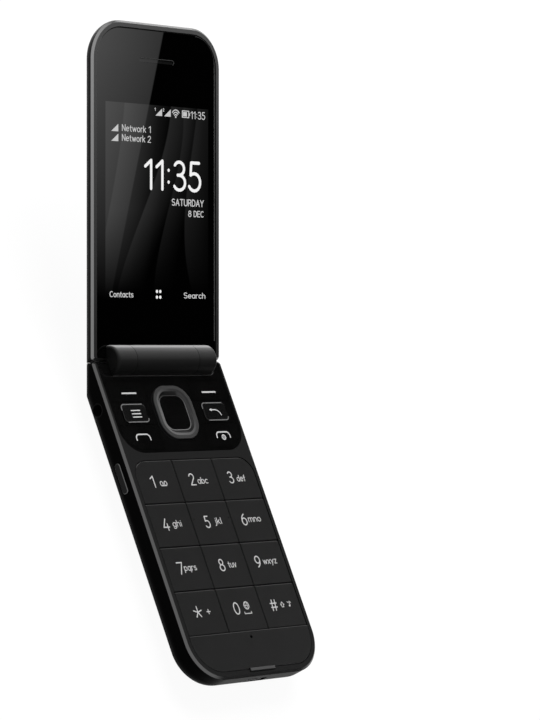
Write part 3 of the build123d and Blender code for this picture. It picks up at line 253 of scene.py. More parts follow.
FLOW_GRAINS = 110.0                      # clouds from the flow of the plastic, to the metre
PIT_DEPTH, PIT_STRENGTH = 0.3, 0.12      # the depth is a share of the pit's size


def grained_plastic(name, level, roughness, grain, specular=0.3, rounding=0.0):
    """Black plastic from a grained mould. Grain is the size of one pit, and rounding the radius
    to which the tool's edges are worn, both in millimetres."""
    material, tree, shader = new_finish(name)
    shader.inputs["Specular IOR Level"].default_value = specular
    pits = noise_over(tree, 1 / (grain * MM), 3.0)
    flow = noise_over(tree, FLOW_GRAINS, 2.0)
    tint = grey_ramp(tree, flow, (0.3, level * 0.94), (0.7, level * 1.06))
    rough = map_to(tree, pits, roughness * 0.85, roughness * 1.15)
    tree.links.new(tint, shader.inputs["Base Color"])
    tree.links.new(rough, shader.inputs["Roughness"])
    bump(tree, pits, PIT_STRENGTH, grain * MM * PIT_DEPTH, rounding)
    return material


BEVEL_ENDS = (0.5, 0.58, 0.88, 0.97)     # how squarely wall, bevel and rim turn to the front


def grained_frame(name, front, wall, bevel, rim, specular):
    """The same plastic with a bright-cut bevel. Front is the way that the frame's rim faces, and
    wall, bevel and rim are the greys of its sides, its cut bevel and its face; the sides are
    painted darker than the face, as painted shade."""
    material = grained_plastic(name, rim, 0.3, FRAME_GRAIN, specular)
    tree = material.node_tree
    turned = how_squarely(tree, front)
    greys = (wall, bevel, bevel, rim)
    for socket, levels in (("Base Color", greys), ("Metallic", (0, 255, 255, 0))):
        zones = grey_ramp(tree, turned, *zip(BEVEL_ENDS, levels))
        tree.links.new(zones, tree.nodes["Principled BSDF"].inputs[socket])
    return material


def give_finish(material, *names):
    """Gives pieces of the construction their finish."""
    for name in names:
        nodes[name].data.materials.clear()
        nodes[name].data.materials.append(material)


FRAME_GRAIN = 0.2
# Its side walls are painted much darker than its rim, as painted shade.
base_frame_black = grained_frame("base_frame_black", (0, 0, 1), 7, 76, 36, 0.01)
give_finish(base_frame_black, "front_frame")

# ---- Inside of the keypad half -------------------------------------------------------------------
# The key plungers press a film of steel domes on a green fibreglass board. Tinned cans, the card
# holder, the sockets, the motor and the loudspeaker are soldered or clipped round it.
inner_black = grained_plastic("inner_black", 34, 0.6, 0.3)
dome_film = grained_plastic("dome_film", 196, 0.4, 0.5)
socket_black = grained_plastic("socket_black", 8, 0.5, 0.2, specular=0.05)
give_finish(inner_black, "mid_frame", "battery_contacts")
give_finish(socket_black, "audio_jack")
give_finish(dome_film, "dome_sheet")


def circuit_green(name):
    """Solder mask over fibreglass: copper tracks show through it as paler green lines."""
    material, tree, shader = new_finish(name)
    shader.inputs["Roughness"].default_value = 0.3
    place = tree.nodes.new("ShaderNodeTexCoord")
    tracks = new_node(tree, "ShaderNodeTexBrick", Scale=320.0, Mortar_Size=0.06)
    tracks.inputs["Color1"].default_value = (0.004, 0.045, 0.02, 1)
    tracks.inputs["Color2"].default_value = (0.005, 0.055, 0.024, 1)
    tracks.inputs["Mortar"].default_value = (0.02, 0.13, 0.06, 1)
    tree.links.new(place.outputs["Object"], tracks.inputs["Vector"])
    tree.links.new(tracks.outputs["Color"], shader.inputs["Base Color"])
    return material


board_green = circuit_green("board_green")
give_finish(board_green, "main_board")

STREAK_STRETCH = (0.05, 1, 1)            # the streaks run along x


def drawn_metal(name, level, roughness, streak):
    """Metal with fine drawn or rolled streaks, each about streak millimetres wide."""
    material, tree, shader = new_finish(name)
    shader.inputs["Metallic"].default_value = 1.0
    lines = noise_over(tree, 1 / (streak * MM), 4.0, STREAK_STRETCH)
    tint = grey_ramp(tree, lines, (0.3, level * 0.9), (0.7, level * 1.08))
    rough = map_to(tree, lines, roughness * 0.8, roughness * 1.2)
    tree.links.new(tint, shader.inputs["Base Color"])
    tree.links.new(rough, shader.inputs["Roughness"])
    return material


stamped_steel = drawn_metal("stamped_steel", 176, 0.34, 0.3)
tinned_steel = drawn_metal("tinned_steel", 200, 0.28, 0.5)
give_finish(stamped_steel, "base_screws", "sim_holder", "usb_connector", "vibration_motor")
give_finish(stamped_steel, "motor_weight", "nav_carrier", "board_parts")
give_finish(tinned_steel, "shield_cans")
wrap_grey = grained_plastic("wrap_grey", 92, 0.42, 0.4)
speaker_black = grained_plastic("speaker_black", 40, 0.5, 0.25)
give_finish(wrap_grey, "battery")
give_finish(speaker_black, "loudspeaker")

# ---- Battery cover -------------------------------------------------------------------------------
# A snap-on tray of black polycarbonate that forms the rounded back of the keypad half. It is
# sprayed with a soft-touch paint, and it pulls off at the seam that runs round the sides.
cover_black = grained_plastic("cover_black", 12, 0.6, FRAME_GRAIN, specular=0.01)
give_finish(cover_black, "battery_cover")


# ---- Function plate and its keys -----------------------------------------------------------------
# A plate of piano-black acrylic is glued into the top of the frame. Six keys of the same acrylic
# stand in its openings, two of them raised like tiles, and their marks are printed in off-white.
PEEL_GRAINS, SPECK_GRAINS = 140.0, 2600.0
PEEL_STRENGTH = 0.5


def polished_acrylic(name, level, roughness, rounding=0.0, peel_depth=0.2):
    """Piano-black acrylic: deep colour under a polished face, with the faintest orange peel, its
    depth in micrometres."""
    material, tree, shader = new_finish(name)
    peel = noise_over(tree, PEEL_GRAINS, 1.0)
    specks = noise_over(tree, SPECK_GRAINS, 2.0)
    tint = grey_ramp(tree, specks, (0, level * 0.7), (1, level * 1.3))
    rough = map_to(tree, peel, roughness * 0.8, roughness * 1.2)
    tree.links.new(tint, shader.inputs["Base Color"])
    tree.links.new(rough, shader.inputs["Roughness"])
    bump(tree, peel, PEEL_STRENGTH, peel_depth * MM * MM, rounding)
    return material


def bare_edge_or_painted_light(material, level, way, start, full, metal=True):
    """Leaves cut edges bare, and also paints faces paler or darker as painted light and shade.
    How squarely a face turns to that way, from start to full, says how far it takes the grey that
    level gives."""
    tree = material.node_tree
    shader = tree.nodes["Principled BSDF"]
    bare_or_lit = map_to(tree, how_squarely(tree, way), 0, 1, start, full)
    mixed = new_node(tree, "ShaderNodeMix", data_type="RGBA")
    tree.links.new(bare_or_lit, mixed.inputs["Factor"])
    tree.links.new(shader.inputs["Base Color"].links[0].from_socket, mixed.inputs[6])
    mixed.inputs[7].default_value = grey(level)
    tree.links.new(mixed.outputs[2], shader.inputs["Base Color"])
    if metal:
        tree.links.new(bare_or_lit, shader.inputs["Metallic"])


UP = (0, 0, 1)
plate_black = polished_acrylic("plate_black", 7, 0.1)
bare_edge_or_painted_light(plate_black, 1, UP, 0.99, 0.95)
tile_black = polished_acrylic("tile_black", 4, 0.16, rounding=0.3)
bare_edge_or_painted_light(tile_black, 3, UP, 0.99, 0.95)
give_finish(plate_black, "function_plate", "soft_key_left", "soft_key_right")
give_finish(plate_black, "call_key", "end_key")
give_finish(tile_black, "menu_key", "back_key")

# Marks are drawn in millimetres from the hinge's axis: x across, y up the lid, so that everything
# on the keypad half has y below 0.
HINGE_AXIS = Vector((0, 50.2, 11.7)) * MM
BASE_PLACE = Matrix.Translation(HINGE_AXIS) @ Matrix.Scale(MM, 4)
INK = 0.02                               # thickness of a printed mark
GLINT_THICKNESS = 0.012                             # thickness of a line of painted highlight
COAT_STEP = 0.0008                       # each mark's top lies this much over the last
SHARPEST = 0.64                          # cosine of the sharpest bend that the pen makes
SAME_POINT = 0.001                       # a stroke whose ends are so near closes
WEDGE_TIP = 0.02
PEN_TIP = ((0.38, 0.92), (0.92, 0.38))   # reach and breadth of a stroke's round end, in radii
PLATE_LEVEL = -0.35                      # heights of the faces over the hinge's axis
TILE_LEVEL = -0.13


def bar(x, y, length, width):
    """A plain bar with its middle at x, y."""
    left, right = x - length / 2, x + length / 2
    low, high = y - width / 2, y + width / 2
    return [([(left, high), (right, high)], [(left, low), (right, low)], False)]


def wedge(x, y, length, height):
    """A right-angled wedge that rises from x, y."""
    upper = [(x, y + WEDGE_TIP), (x + length, y + height)]
    return [(upper, [(x, y), (x + length, y)], False)]


def smooth_stroke(points, radius, closed):
    """The two sides of one smooth stroke, with round ends where it is open."""
    left, right = [], []
    for i, point in enumerate(points):
        into = (point - points[i - 1]).normalized()
        out = (points[(i + 1) % len(points)] - point).normalized()
        if not closed and i == 0:
            into = out
        if not closed and i == len(points) - 1:
            out = into
        mean = into + out
        side = Vector((-mean.y, mean.x)) * (2 * radius / mean.length_squared)
        left.append(point + side)
        right.append(point - side)
    if not closed:
        start = (points[0] - points[1]).normalized() * radius
        end = (points[-1] - points[-2]).normalized() * radius
        for reach, breadth in PEN_TIP:
            side = Vector((start.y, -start.x)) * breadth
            left.insert(0, points[0] + start * reach + side)
            right.insert(0, points[0] + start * reach - side)
            side = Vector((-end.y, end.x)) * breadth
            left.append(points[-1] + end * reach + side)
            right.append(points[-1] + end * reach - side)
    return left, right, closed


def stroke(points, width):
    """A pen stroke. It closes where it ends on its first point, and the pen is lifted at each
    sharp bend, where two round ends then meet."""
    points = [Vector(point) for point in points]
    last = len(points) - 1
    lifts = [0]
    for i in range(1, last):
        into, out = points[i] - points[i - 1], points[i + 1] - points[i]
        if into.dot(out) < SHARPEST * into.length * out.length:
            lifts.append(i)
    lifts.append(last)
    closed = len(lifts) == 2 and (points[0] - points[last]).length < SAME_POINT
    if closed:
        return [smooth_stroke(points[:-1], width / 2, True)]
    return [
        smooth_stroke(points[start:end + 1], width / 2, False)
        for start, end in zip(lifts, lifts[1:])
    ]


def bow(x, y, across, up, start, end, steps=10):
    """Points on an arc of half sizes across and up, from start to end in degrees."""
    turns = [radians(start + (end - start) * i / steps) for i in range(steps + 1)]
    return [(x + across * cos(turn), y + up * sin(turn)) for turn in turns]


def lay_marks_or_glints(name, marks, place, level, body, ink, thickness=INK):
    """Lays marks on the face at that level of a body, printed ones and lines of painted highlight
    alike, and lets them ride with it.
    """
    made = bmesh.new()
    for i, (left, right, closed) in enumerate(marks):
        top = thickness + i * COAT_STEP
        rings = []
        for one, other in zip(left, right):
            corners = ((*one, 0), (*other, 0), (*other, top), (*one, top))
            rings.append([made.verts.new(corner) for corner in corners])
        pairs = list(zip(rings, rings[1:]))
        if closed:
            pairs.append((rings[-1], rings[0]))
        else:
            made.faces.new(rings[0])
            made.faces.new(rings[-1][::-1])
        for ring, after in pairs:
            for j in range(4):
                k = (j + 1) % 4
                made.faces.new((ring[k], ring[j], after[j], after[k]))
    bmesh.ops.recalc_face_normals(made, faces=made.faces)
    mesh = bpy.data.meshes.new(name)
    made.to_mesh(mesh)
    made.free()
    mesh.transform(place @ Matrix.Translation((0, 0, level)))
    mesh.materials.append(ink)
    piece = bpy.data.objects.new(name, mesh)
    scene.collection.objects.link(piece)
    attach(piece, body)


COVER_GRAINS = 5200.0


def ink_or_painted_glint(name, level, roughness=0.5, glow=0.0):
    """Printed ink, a little uneven in cover, which also serves for lines of painted highlight; with
    a glow it is a lit part of a display.
    """
    material, tree, shader = new_finish(name)
    shader.inputs["Roughness"].default_value = roughness
    shader.inputs["Specular IOR Level"].default_value = 0.2
    cover = noise_over(tree, COVER_GRAINS, 2.0)
    tint = grey_ramp(tree, cover, (0, level * 0.94), (1, level * 1.06))
    if glow:
        tree.links.new(tint, shader.inputs["Emission Color"])
        shader.inputs["Emission Strength"].default_value = glow
        shader.inputs["Base Color"].default_value = grey(6)
    else:
        tree.links.new(tint, shader.inputs["Base Color"])
    return material


key_ink = ink_or_painted_glint("key_ink", 205)
for side, middle in (("left", -16.61), ("right", 17.29)):
    mark = bar(middle, -10.47, 6.0, 0.5)
    key = f"soft_key_{side}"
    lay_marks_or_glints(f"{key}_mark", mark, BASE_PLACE, PLATE_LEVEL, key, key_ink)

# Three bars for the menu, and an arrow that bends back.
menu_marks = []
for y in (-16.14, -17.18, -18.23):
    menu_marks += bar(-16.55, y, 3.8, 0.36)
ARROW_Y = -16.42
arrow_bend = bow(16.9, -18.5, 2.3, 2.08, 92, 8, 8)
back_marks = stroke([(15.3, ARROW_Y), (16.6, ARROW_Y), *arrow_bend], 0.34)
for rise in (-0.35, 0.0, 0.35):
    back_marks += stroke([(14.85, ARROW_Y), (15.6, ARROW_Y + rise)], 0.22)
for key, marks in (("menu", menu_marks), ("back", back_marks)):
    lay_marks_or_glints(
        f"{key}_mark", marks, BASE_PLACE, TILE_LEVEL, f"{key}_key", key_ink
    )

# Pale lines along the far and the near edge of each tile are a painted highlight.
TILE_INNER, TILE_OUTER, TILE_NEAR, TILE_FAR, TILE_CORNER = 11.9, 22.1, -19.97, -13.97, 1.2
TILE_GLINT_WIDTH, TILE_SIDE = 0.34, 1.8          # the line's width, and how far it runs down the side
tile_rim_glint = ink_or_painted_glint("tile_rim_glint", 112, 0.3)
for key, side in (("menu_key", -1), ("back_key", 1)):
    left, right = sorted((side * TILE_INNER, side * TILE_OUTER))
    left, right = left + TILE_GLINT_WIDTH / 2, right - TILE_GLINT_WIDTH / 2
    far, near = TILE_FAR - TILE_GLINT_WIDTH / 2, TILE_NEAR + TILE_GLINT_WIDTH / 2
    rim_glints = stroke([
        (left, far - TILE_SIDE),
        *bow(left + TILE_CORNER, far - TILE_CORNER, TILE_CORNER, TILE_CORNER, 180, 90, 6),
        (right - TILE_CORNER, far),
    ], TILE_GLINT_WIDTH)
    rim_glints += stroke([
        (left + TILE_CORNER, near),
        *bow(right - TILE_CORNER, near + TILE_CORNER, TILE_CORNER, TILE_CORNER, 270, 350, 6),
    ], TILE_GLINT_WIDTH)
    lay_marks_or_glints(f"{key}_rim", rim_glints, BASE_PLACE, TILE_LEVEL, key, tile_rim_glint, GLINT_THICKNESS)


def handset(middle):
    """A telephone's handset seen from the side: an arch whose ends turn down."""
    return [
        (middle - 2.85, -25.5),
        *bow(middle - 1.6, -25.0, 1.25, 1.3, 180, 90, 6),
        *bow(middle + 1.6, -25.0, 1.25, 1.3, 90, 0, 6),
        (middle + 2.85, -25.5),
    ]


CALL_X, END_X = -16.75, 17.2
HANDSET_PEN = 0.42
call_marks = stroke(handset(CALL_X), HANDSET_PEN)
end_marks = stroke(handset(END_X), HANDSET_PEN)
end_marks += stroke(bow(END_X, -25.4, 0.72, 0.72, 0, 360, 20), 0.36)
end_marks += stroke([(END_X, -25.25), (END_X, -25.55)], HANDSET_PEN)
for key, marks in (("call", call_marks), ("end", end_marks)):
    lay_marks_or_glints(
        f"{key}_mark", marks, BASE_PLACE, PLATE_LEVEL, f"{key}_key", key_ink
    )

# A thin raised line of satin grey along the hollow that the barrel turns in is a painted
# highlight of the plate's edge there.
HOLLOW_GLINT_LEFT, HOLLOW_GLINT_RIGHT, HOLLOW_GLINT_FAR, HOLLOW_GLINT_BEND = -20.8, 20.4, -4.85, 2.0
HOLLOW_GLINT_WIDTH, HOLLOW_GLINT_TALL = 0.16, 0.045
hollow_glint_line = [
    (HOLLOW_GLINT_LEFT, HOLLOW_GLINT_FAR),
    (HOLLOW_GLINT_RIGHT, HOLLOW_GLINT_FAR),
    *bow(HOLLOW_GLINT_RIGHT, HOLLOW_GLINT_FAR + HOLLOW_GLINT_BEND, HOLLOW_GLINT_BEND, HOLLOW_GLINT_BEND, -80, -10, 7),
]
hollow_glint_grey = grained_plastic("hollow_glint_grey", 60, 0.35, 0.1, specular=0.4)
hollow_glint = stroke(hollow_glint_line, HOLLOW_GLINT_WIDTH)
lay_marks_or_glints("barrel_hollow_glint", hollow_glint, BASE_PLACE, PLATE_LEVEL, "base", hollow_glint_grey, HOLLOW_GLINT_TALL)

# ---- Four-way ring and centre key ----------------------------------------------------------------
# The ring is moulded and vacuum-plated dark grey. The centre key is polished black acrylic, and
# both rock on a steel carrier above the domes.
ring_grey = grained_plastic("ring_grey", 43, 0.34, 0.12, specular=0.35, rounding=0.16)
# Its sloping faces are painted darker than its top, as painted shade.
bare_edge_or_painted_light(ring_grey, 18, UP, 0.99, 0.93, metal=False)
centre_black = polished_acrylic("centre_black", 3, 0.12, rounding=0.16)
give_finish(ring_grey, "nav_ring")
give_finish(centre_black, "centre_key")

# Painted highlights: a pale band on the inner half of the ring's face and a thin pale line round
# the key, each graded into painted shade on its far side.
RING_MIDDLE = -17.0
RING_LEVEL = 0.2
RING_FACE = (8.0, 8.7, 6.2)              # half its width, half its length, and its corner
RING_GLINT_INSET, RING_GLINT_WIDTH = 1.52, 0.74
KEY_GLINT_FRAME = (5.3, 5.6, 3.0)
KEY_GLINT_WIDTH = 0.3
KEY_GLINT_LEVEL = -0.42


def rounded_frame(across, up, corner):
    """The closed line of a rounded frame round the ring's middle, of half sizes across and up."""
    line = []
    for x, y, start in ((1, 1, 0), (-1, 1, 90), (-1, -1, 180), (1, -1, 270)):
        middle = x * (across - corner), RING_MIDDLE + y * (up - corner)
        line += bow(*middle, corner, corner, start, start + 90, 8)
    return [*line, line[0]]


def place_of(tree, kind):
    """The x and the y of a point in the coordinates of that kind."""
    place = tree.nodes.new("ShaderNodeTexCoord")
    parts = tree.nodes.new("ShaderNodeSeparateXYZ")
    tree.links.new(place.outputs[kind], parts.inputs[0])
    return parts.outputs["X"], parts.outputs["Y"]


def graded_glint_trim(name, levels, across, up):
    """A line of painted highlight. Its greys, from lit to painted shade, run over it in steps, by
    those shares of its width and length.
    """
    material = grained_plastic(name, 60, 0.3, 0.12, specular=0.1)
    tree = material.node_tree
    width_share, length_share = place_of(tree, "Generated")
    lengthwise = do_math(tree, "MULTIPLY", length_share, up)
    summed = do_math(tree, "MULTIPLY_ADD", width_share, across, lengthwise)
    stops = [(i / (len(levels) - 1), level) for i, level in enumerate(levels)]
    tone = grey_ramp(tree, summed, *stops)
    tree.links.new(tone, tree.nodes["Principled BSDF"].inputs["Base Color"])
    return material


ring_glint = graded_glint_trim("ring_glint", (112, 102, 84, 44, 40), 0.5, 0.5)
ring_glint_marks = stroke(rounded_frame(*[size - RING_GLINT_INSET for size in RING_FACE]), RING_GLINT_WIDTH)
lay_marks_or_glints("nav_ring_glint", ring_glint_marks, BASE_PLACE, RING_LEVEL, "nav_ring", ring_glint, GLINT_THICKNESS)
key_glint_grey = graded_glint_trim("key_glint_grey", (118, 112, 112, 104, 44), 0.0, 1.0)
key_glint = stroke(rounded_frame(*KEY_GLINT_FRAME), KEY_GLINT_WIDTH)
lay_marks_or_glints(
    "centre_key_glint", key_glint, BASE_PLACE, KEY_GLINT_LEVEL, "centre_key", key_glint_grey
)

# ---- Number keys ---------------------------------------------------------------------------------
# Twelve separate keys of hard black plastic, grained like the frame, with worn edges. Digits and
# letters are lasered through black paint, so they show the pale plastic below it.
FAR_EDGE_WAY = (0, 0.707, 0.707)             # the far edge of a key, painted bright as a highlight
key_black = grained_plastic("key_black", 19, 0.42, 0.18, specular=0.1, rounding=0.13)
# The far edge of each key is left bright bare metal, a painted highlight of the light behind.
bare_edge_or_painted_light(key_black, 110, FAR_EDGE_WAY, 0.8, 0.95)
NUMBER_KEYS = ("1", "2", "3", "4", "5", "6", "7", "8", "9", "star", "0", "hash")
give_finish(key_black, *[f"key_{name}" for name in NUMBER_KEYS])

# A plain line alphabet. Each sign has its width and its pen strokes, for a capital 1 high. Many
# small letters share a round bowl, a long or a short stem, or an arch.
BOWL = bow(0.24, 0.33, 0.24, 0.33, 0, 360, 18)
STEM, SHORT_STEM = [(0.0, 1.0), (0.0, 0.0)], [(0.0, 0.66), (0.0, 0.0)]
ARCH = [*bow(0.22, 0.42, 0.22, 0.24, 160, 0, 8), (0.44, 0.0)]
SIGNS = {
    "0": (0.56, [bow(0.28, 0.5, 0.28, 0.5, 90, 450, 24)]),
    "1": (0.34, [[(0.02, 0.78), (0.3, 1.0), (0.3, 0.0)]]),
    "2": (0.54, [[*bow(0.26, 0.74, 0.25, 0.26, 165, -38, 11), (0.0, 0.0), (0.54, 0.0)]]),
    "3": (0.54, [
        bow(0.25, 0.765, 0.24, 0.235, 150, -90, 12),
        [(0.18, 0.53), *bow(0.26, 0.265, 0.28, 0.265, 90, -150, 13)],
    ]),
    "4": (0.6, [[(0.36, 1.0), (0.0, 0.27), (0.6, 0.27)], [(0.44, 0.56), (0.44, 0.0)]]),
    "5": (0.54, [
        [(0.48, 1.0), (0.1, 1.0), (0.07, 0.56), *bow(0.25, 0.31, 0.29, 0.31, 110, -150, 13)],
    ]),
    "6": (0.56, [
        bow(0.62, 0.33, 0.62, 0.68, 112, 180, 8),
        bow(0.28, 0.31, 0.28, 0.31, 0, 360, 22),
    ]),
    "7": (0.54, [[(0.0, 1.0), (0.54, 1.0), (0.18, 0.0)]]),
    "8": (0.56, [
        bow(0.28, 0.765, 0.22, 0.235, 0, 360, 20),
        bow(0.28, 0.265, 0.28, 0.265, 0, 360, 22),
    ]),
    "9": (0.56, [bow(0.28, 0.69, 0.28, 0.31, 0, 360, 22), bow(-0.06, 0.67, 0.62, 0.68, 0, -68, 8)]),
    ":": (0.12, [[(0.06, 0.26), (0.06, 0.27)], [(0.06, 0.68), (0.06, 0.69)]]),
    "a": (0.48, [BOWL, [(0.48, 0.66), (0.48, 0.0)]]),
    "b": (0.48, [STEM, BOWL]),
    "c": (0.42, [bow(0.25, 0.33, 0.25, 0.33, 48, 312, 12)]),
    "d": (0.48, [[(0.48, 1.0), (0.48, 0.0)], BOWL]),
    "e": (0.48, [[(0.02, 0.35), (0.47, 0.35)], bow(0.25, 0.33, 0.24, 0.33, 4, 312, 14)]),
    "f": (0.34, [
        [(0.12, 0.0), (0.12, 0.8), *bow(0.32, 0.8, 0.2, 0.2, 160, 95, 4)],
        [(0.0, 0.64), (0.32, 0.64)],
    ]),
    "g": (0.48, [BOWL, [(0.48, 0.66), (0.48, 0.0), *bow(0.24, -0.04, 0.24, 0.26, -10, -145, 7)]]),
    "h": (0.44, [STEM, ARCH]),
    "i": (0.06, [[(0.03, 0.66), (0.03, 0.0)], [(0.03, 0.9), (0.03, 0.91)]]),
    "j": (0.16, [
        [(0.13, 0.66), (0.13, -0.08), *bow(-0.07, -0.08, 0.2, 0.2, -20, -80, 4)],
        [(0.13, 0.9), (0.13, 0.91)],
    ]),
    "k": (0.42, [STEM, [(0.4, 0.66), (0.02, 0.3)], [(0.14, 0.4), (0.42, 0.0)]]),
    "l": (0.06, [[(0.03, 1.0), (0.03, 0.0)]]),
    "m": (0.76, [
        SHORT_STEM,
        [*bow(0.19, 0.44, 0.19, 0.22, 160, 0, 7), (0.38, 0.0)],
        [*bow(0.57, 0.44, 0.19, 0.22, 180, 0, 8), (0.76, 0.0)],
    ]),
    "n": (0.44, [SHORT_STEM, ARCH]),
    "o": (0.5, [bow(0.25, 0.33, 0.25, 0.33, 0, 360, 20)]),
    "p": (0.48, [[(0.0, 0.66), (0.0, -0.3)], BOWL]),
    "q": (0.48, [[(0.48, 0.66), (0.48, -0.3)], BOWL]),
    "r": (0.28, [SHORT_STEM, bow(0.22, 0.42, 0.22, 0.24, 160, 75, 5)]),
    "s": (0.38, [
        [*bow(0.19, 0.5, 0.18, 0.16, 35, 255, 10), *bow(0.19, 0.17, 0.19, 0.17, 75, -145, 10)],
    ]),
    "t": (0.32, [
        [(0.14, 0.88), (0.14, 0.16), *bow(0.3, 0.16, 0.16, 0.16, 200, 275, 5)],
        [(0.0, 0.64), (0.3, 0.64)],
    ]),
    "u": (0.44, [
        [(0.0, 0.66), *bow(0.22, 0.24, 0.22, 0.24, 180, 340, 9)],
        [(0.44, 0.66), (0.44, 0.0)],
    ]),
    "v": (0.44, [[(0.0, 0.66), (0.22, 0.0), (0.44, 0.66)]]),
    "w": (0.68, [[(0.0, 0.66), (0.17, 0.0), (0.34, 0.6), (0.51, 0.0), (0.68, 0.66)]]),
    "x": (0.42, [[(0.0, 0.66), (0.42, 0.0)], [(0.42, 0.66), (0.0, 0.0)]]),
    "y": (0.44, [[(0.0, 0.66), (0.22, 0.06)], [(0.44, 0.66), (0.1, -0.3)]]),
    "z": (0.4, [[(0.0, 0.66), (0.4, 0.66), (0.0, 0.0), (0.4, 0.0)]]),
    " ": (0.2, []),
    "A": (0.6, [[(0.0, 0.0), (0.3, 1.0), (0.6, 0.0)], [(0.12, 0.35), (0.48, 0.35)]]),
    "C": (0.58, [bow(0.32, 0.5, 0.32, 0.5, 52, 308, 16)]),
    "D": (0.56, [
        [(0.0, 0.0), (0.0, 1.0), (0.2, 1.0), *bow(0.2, 0.5, 0.36, 0.5, 80, -80, 12), (0.0, 0.0)],
    ]),
    "E": (0.48, [[(0.48, 1.0), (0.0, 1.0), (0.0, 0.0), (0.48, 0.0)], [(0.0, 0.52), (0.42, 0.52)]]),
    "N": (0.56, [[(0.0, 0.0), (0.0, 1.0), (0.56, 0.0), (0.56, 1.0)]]),
    "R": (0.54, [
        [
            (0.0, 0.0), (0.0, 1.0), (0.26, 1.0),
            *bow(0.26, 0.74, 0.26, 0.26, 75, -75, 8),
            (0.0, 0.48),
        ],
        [(0.28, 0.48), (0.54, 0.0)],
    ]),
    "S": (0.52, [[
        *bow(0.26, 0.75, 0.25, 0.25, 40, 255, 12),
        *bow(0.26, 0.26, 0.26, 0.26, 75, -145, 12),
    ]]),
    "T": (0.56, [[(0.0, 1.0), (0.56, 1.0)], [(0.28, 1.0), (0.28, 0.0)]]),
    "U": (0.56, [[(0.0, 1.0), *bow(0.28, 0.28, 0.28, 0.28, 180, 360, 12), (0.56, 1.0)]]),
    "Y": (0.58, [[(0.0, 1.0), (0.29, 0.48), (0.58, 1.0)], [(0.29, 0.48), (0.29, 0.0)]]),
}
SIGN_GAP = 0.2


def write(text, left, right, baseline, tall, pen):
    """Strokes that write the text from left to right, with capitals tall high and a pen that
    wide. Left, right and tall are measured to the outside of the strokes."""
    width = sum(SIGNS[sign][0] for sign in text) + SIGN_GAP * (len(text) - 1)
    across = (right - left - pen) / width
    marks = []
    start = left + pen / 2
    for sign in text:
        sign_width, lines = SIGNS[sign]
        for line in lines:
            points = [(start + x * across, baseline + pen / 2 + y * (tall - pen)) for x, y in line]
            marks += stroke(points, pen)
        start += (sign_width + SIGN_GAP) * across
    return marks


KEY_LEVEL = -0.3
DIGIT_TALL, DIGIT_PEN = 3.9, 0.36
LETTER_TALL, LETTER_PEN = 2.15, 0.25
# For each key: its digit with left, right and baseline, then its letters with theirs.
LEGENDS = (
    ("1", -20.0, -18.2, -40.75, "", 0, 0, 0),
    ("2", -3.65, -1.35, -40.55, "abc", -0.45, 3.85, -40.15),
    ("3", 12.95, 15.15, -40.5, "def", 16.5, 20.3, -40.0),
    ("4", -20.8, -18.15, -54.25, "ghi", -16.75, -13.0, -53.2),
    ("5", -3.3, -1.15, -54.2, "jkl", 1.0, 3.9, -53.15),
    ("6", 12.5, 14.8, -54.1, "mno", 15.4, 20.9, -53.15),
    ("7", -20.75, -18.25, -67.95, "pqrs", -18.1, -12.95, -66.95),
    ("8", -3.4, -1.1, -67.9, "tuv", 0.4, 3.9, -66.95),
    ("9", 12.2, 14.5, -67.75, "wxyz", 15.6, 21.5, -66.75),
    ("0", -3.45, -0.95, -81.55, "", 0, 0, 0),
)
key_marks = {name: [] for name in NUMBER_KEYS}
for digit, left, right, low, letters, letters_left, letters_right, letters_low in LEGENDS:
    key_marks[digit] += write(digit, left, right, low, DIGIT_TALL, DIGIT_PEN)
    if letters:
        spot = letters_left, letters_right, letters_low
        key_marks[digit] += write(letters, *spot, LETTER_TALL, LETTER_PEN)

# Beside the 1, two loops of tape for the voice mailbox.
SIGN_PEN, FINE_PEN = 0.27, 0.18
REELS = (-15.65, -14.05)
for x in REELS:
    key_marks["1"] += stroke(bow(x, -39.5, 0.55, 0.68, 0, 360, 18), SIGN_PEN)
key_marks["1"] += stroke([(x, -40.18) for x in REELS], SIGN_PEN)
# The star and its plus.
STAR = (-18.43, -79.68)
for turn in (90, 162, 234, 306, 378):
    tip = (STAR[0] + 1.65 * cos(radians(turn)), STAR[1] + 1.75 * sin(radians(turn)))
    key_marks["star"] += stroke([STAR, tip], DIGIT_PEN)
key_marks["star"] += stroke([(-14.75, -79.77), (-13.4, -79.77)], SIGN_PEN)
key_marks["star"] += stroke([(-14.07, -79.1), (-14.07, -80.45)], SIGN_PEN)
# A globe over the mark of the space bar.
GLOBE_X, GLOBE_Y, GLOBE_TALL = 2.25, -78.95, 1.15
key_marks["0"] += stroke(bow(GLOBE_X, GLOBE_Y, 1.0, GLOBE_TALL, 0, 360, 22), 0.26)
key_marks["0"] += stroke(bow(GLOBE_X, GLOBE_Y, 0.42, GLOBE_TALL, 0, 360, 16), FINE_PEN)
key_marks["0"] += stroke([(GLOBE_X - 1, GLOBE_Y), (GLOBE_X + 1, GLOBE_Y)], FINE_PEN)
space_bar = [(0.65, -80.95), (0.65, -81.45), (3.5, -81.45), (3.5, -80.95)]
key_marks["0"] += stroke(space_bar, SIGN_PEN)
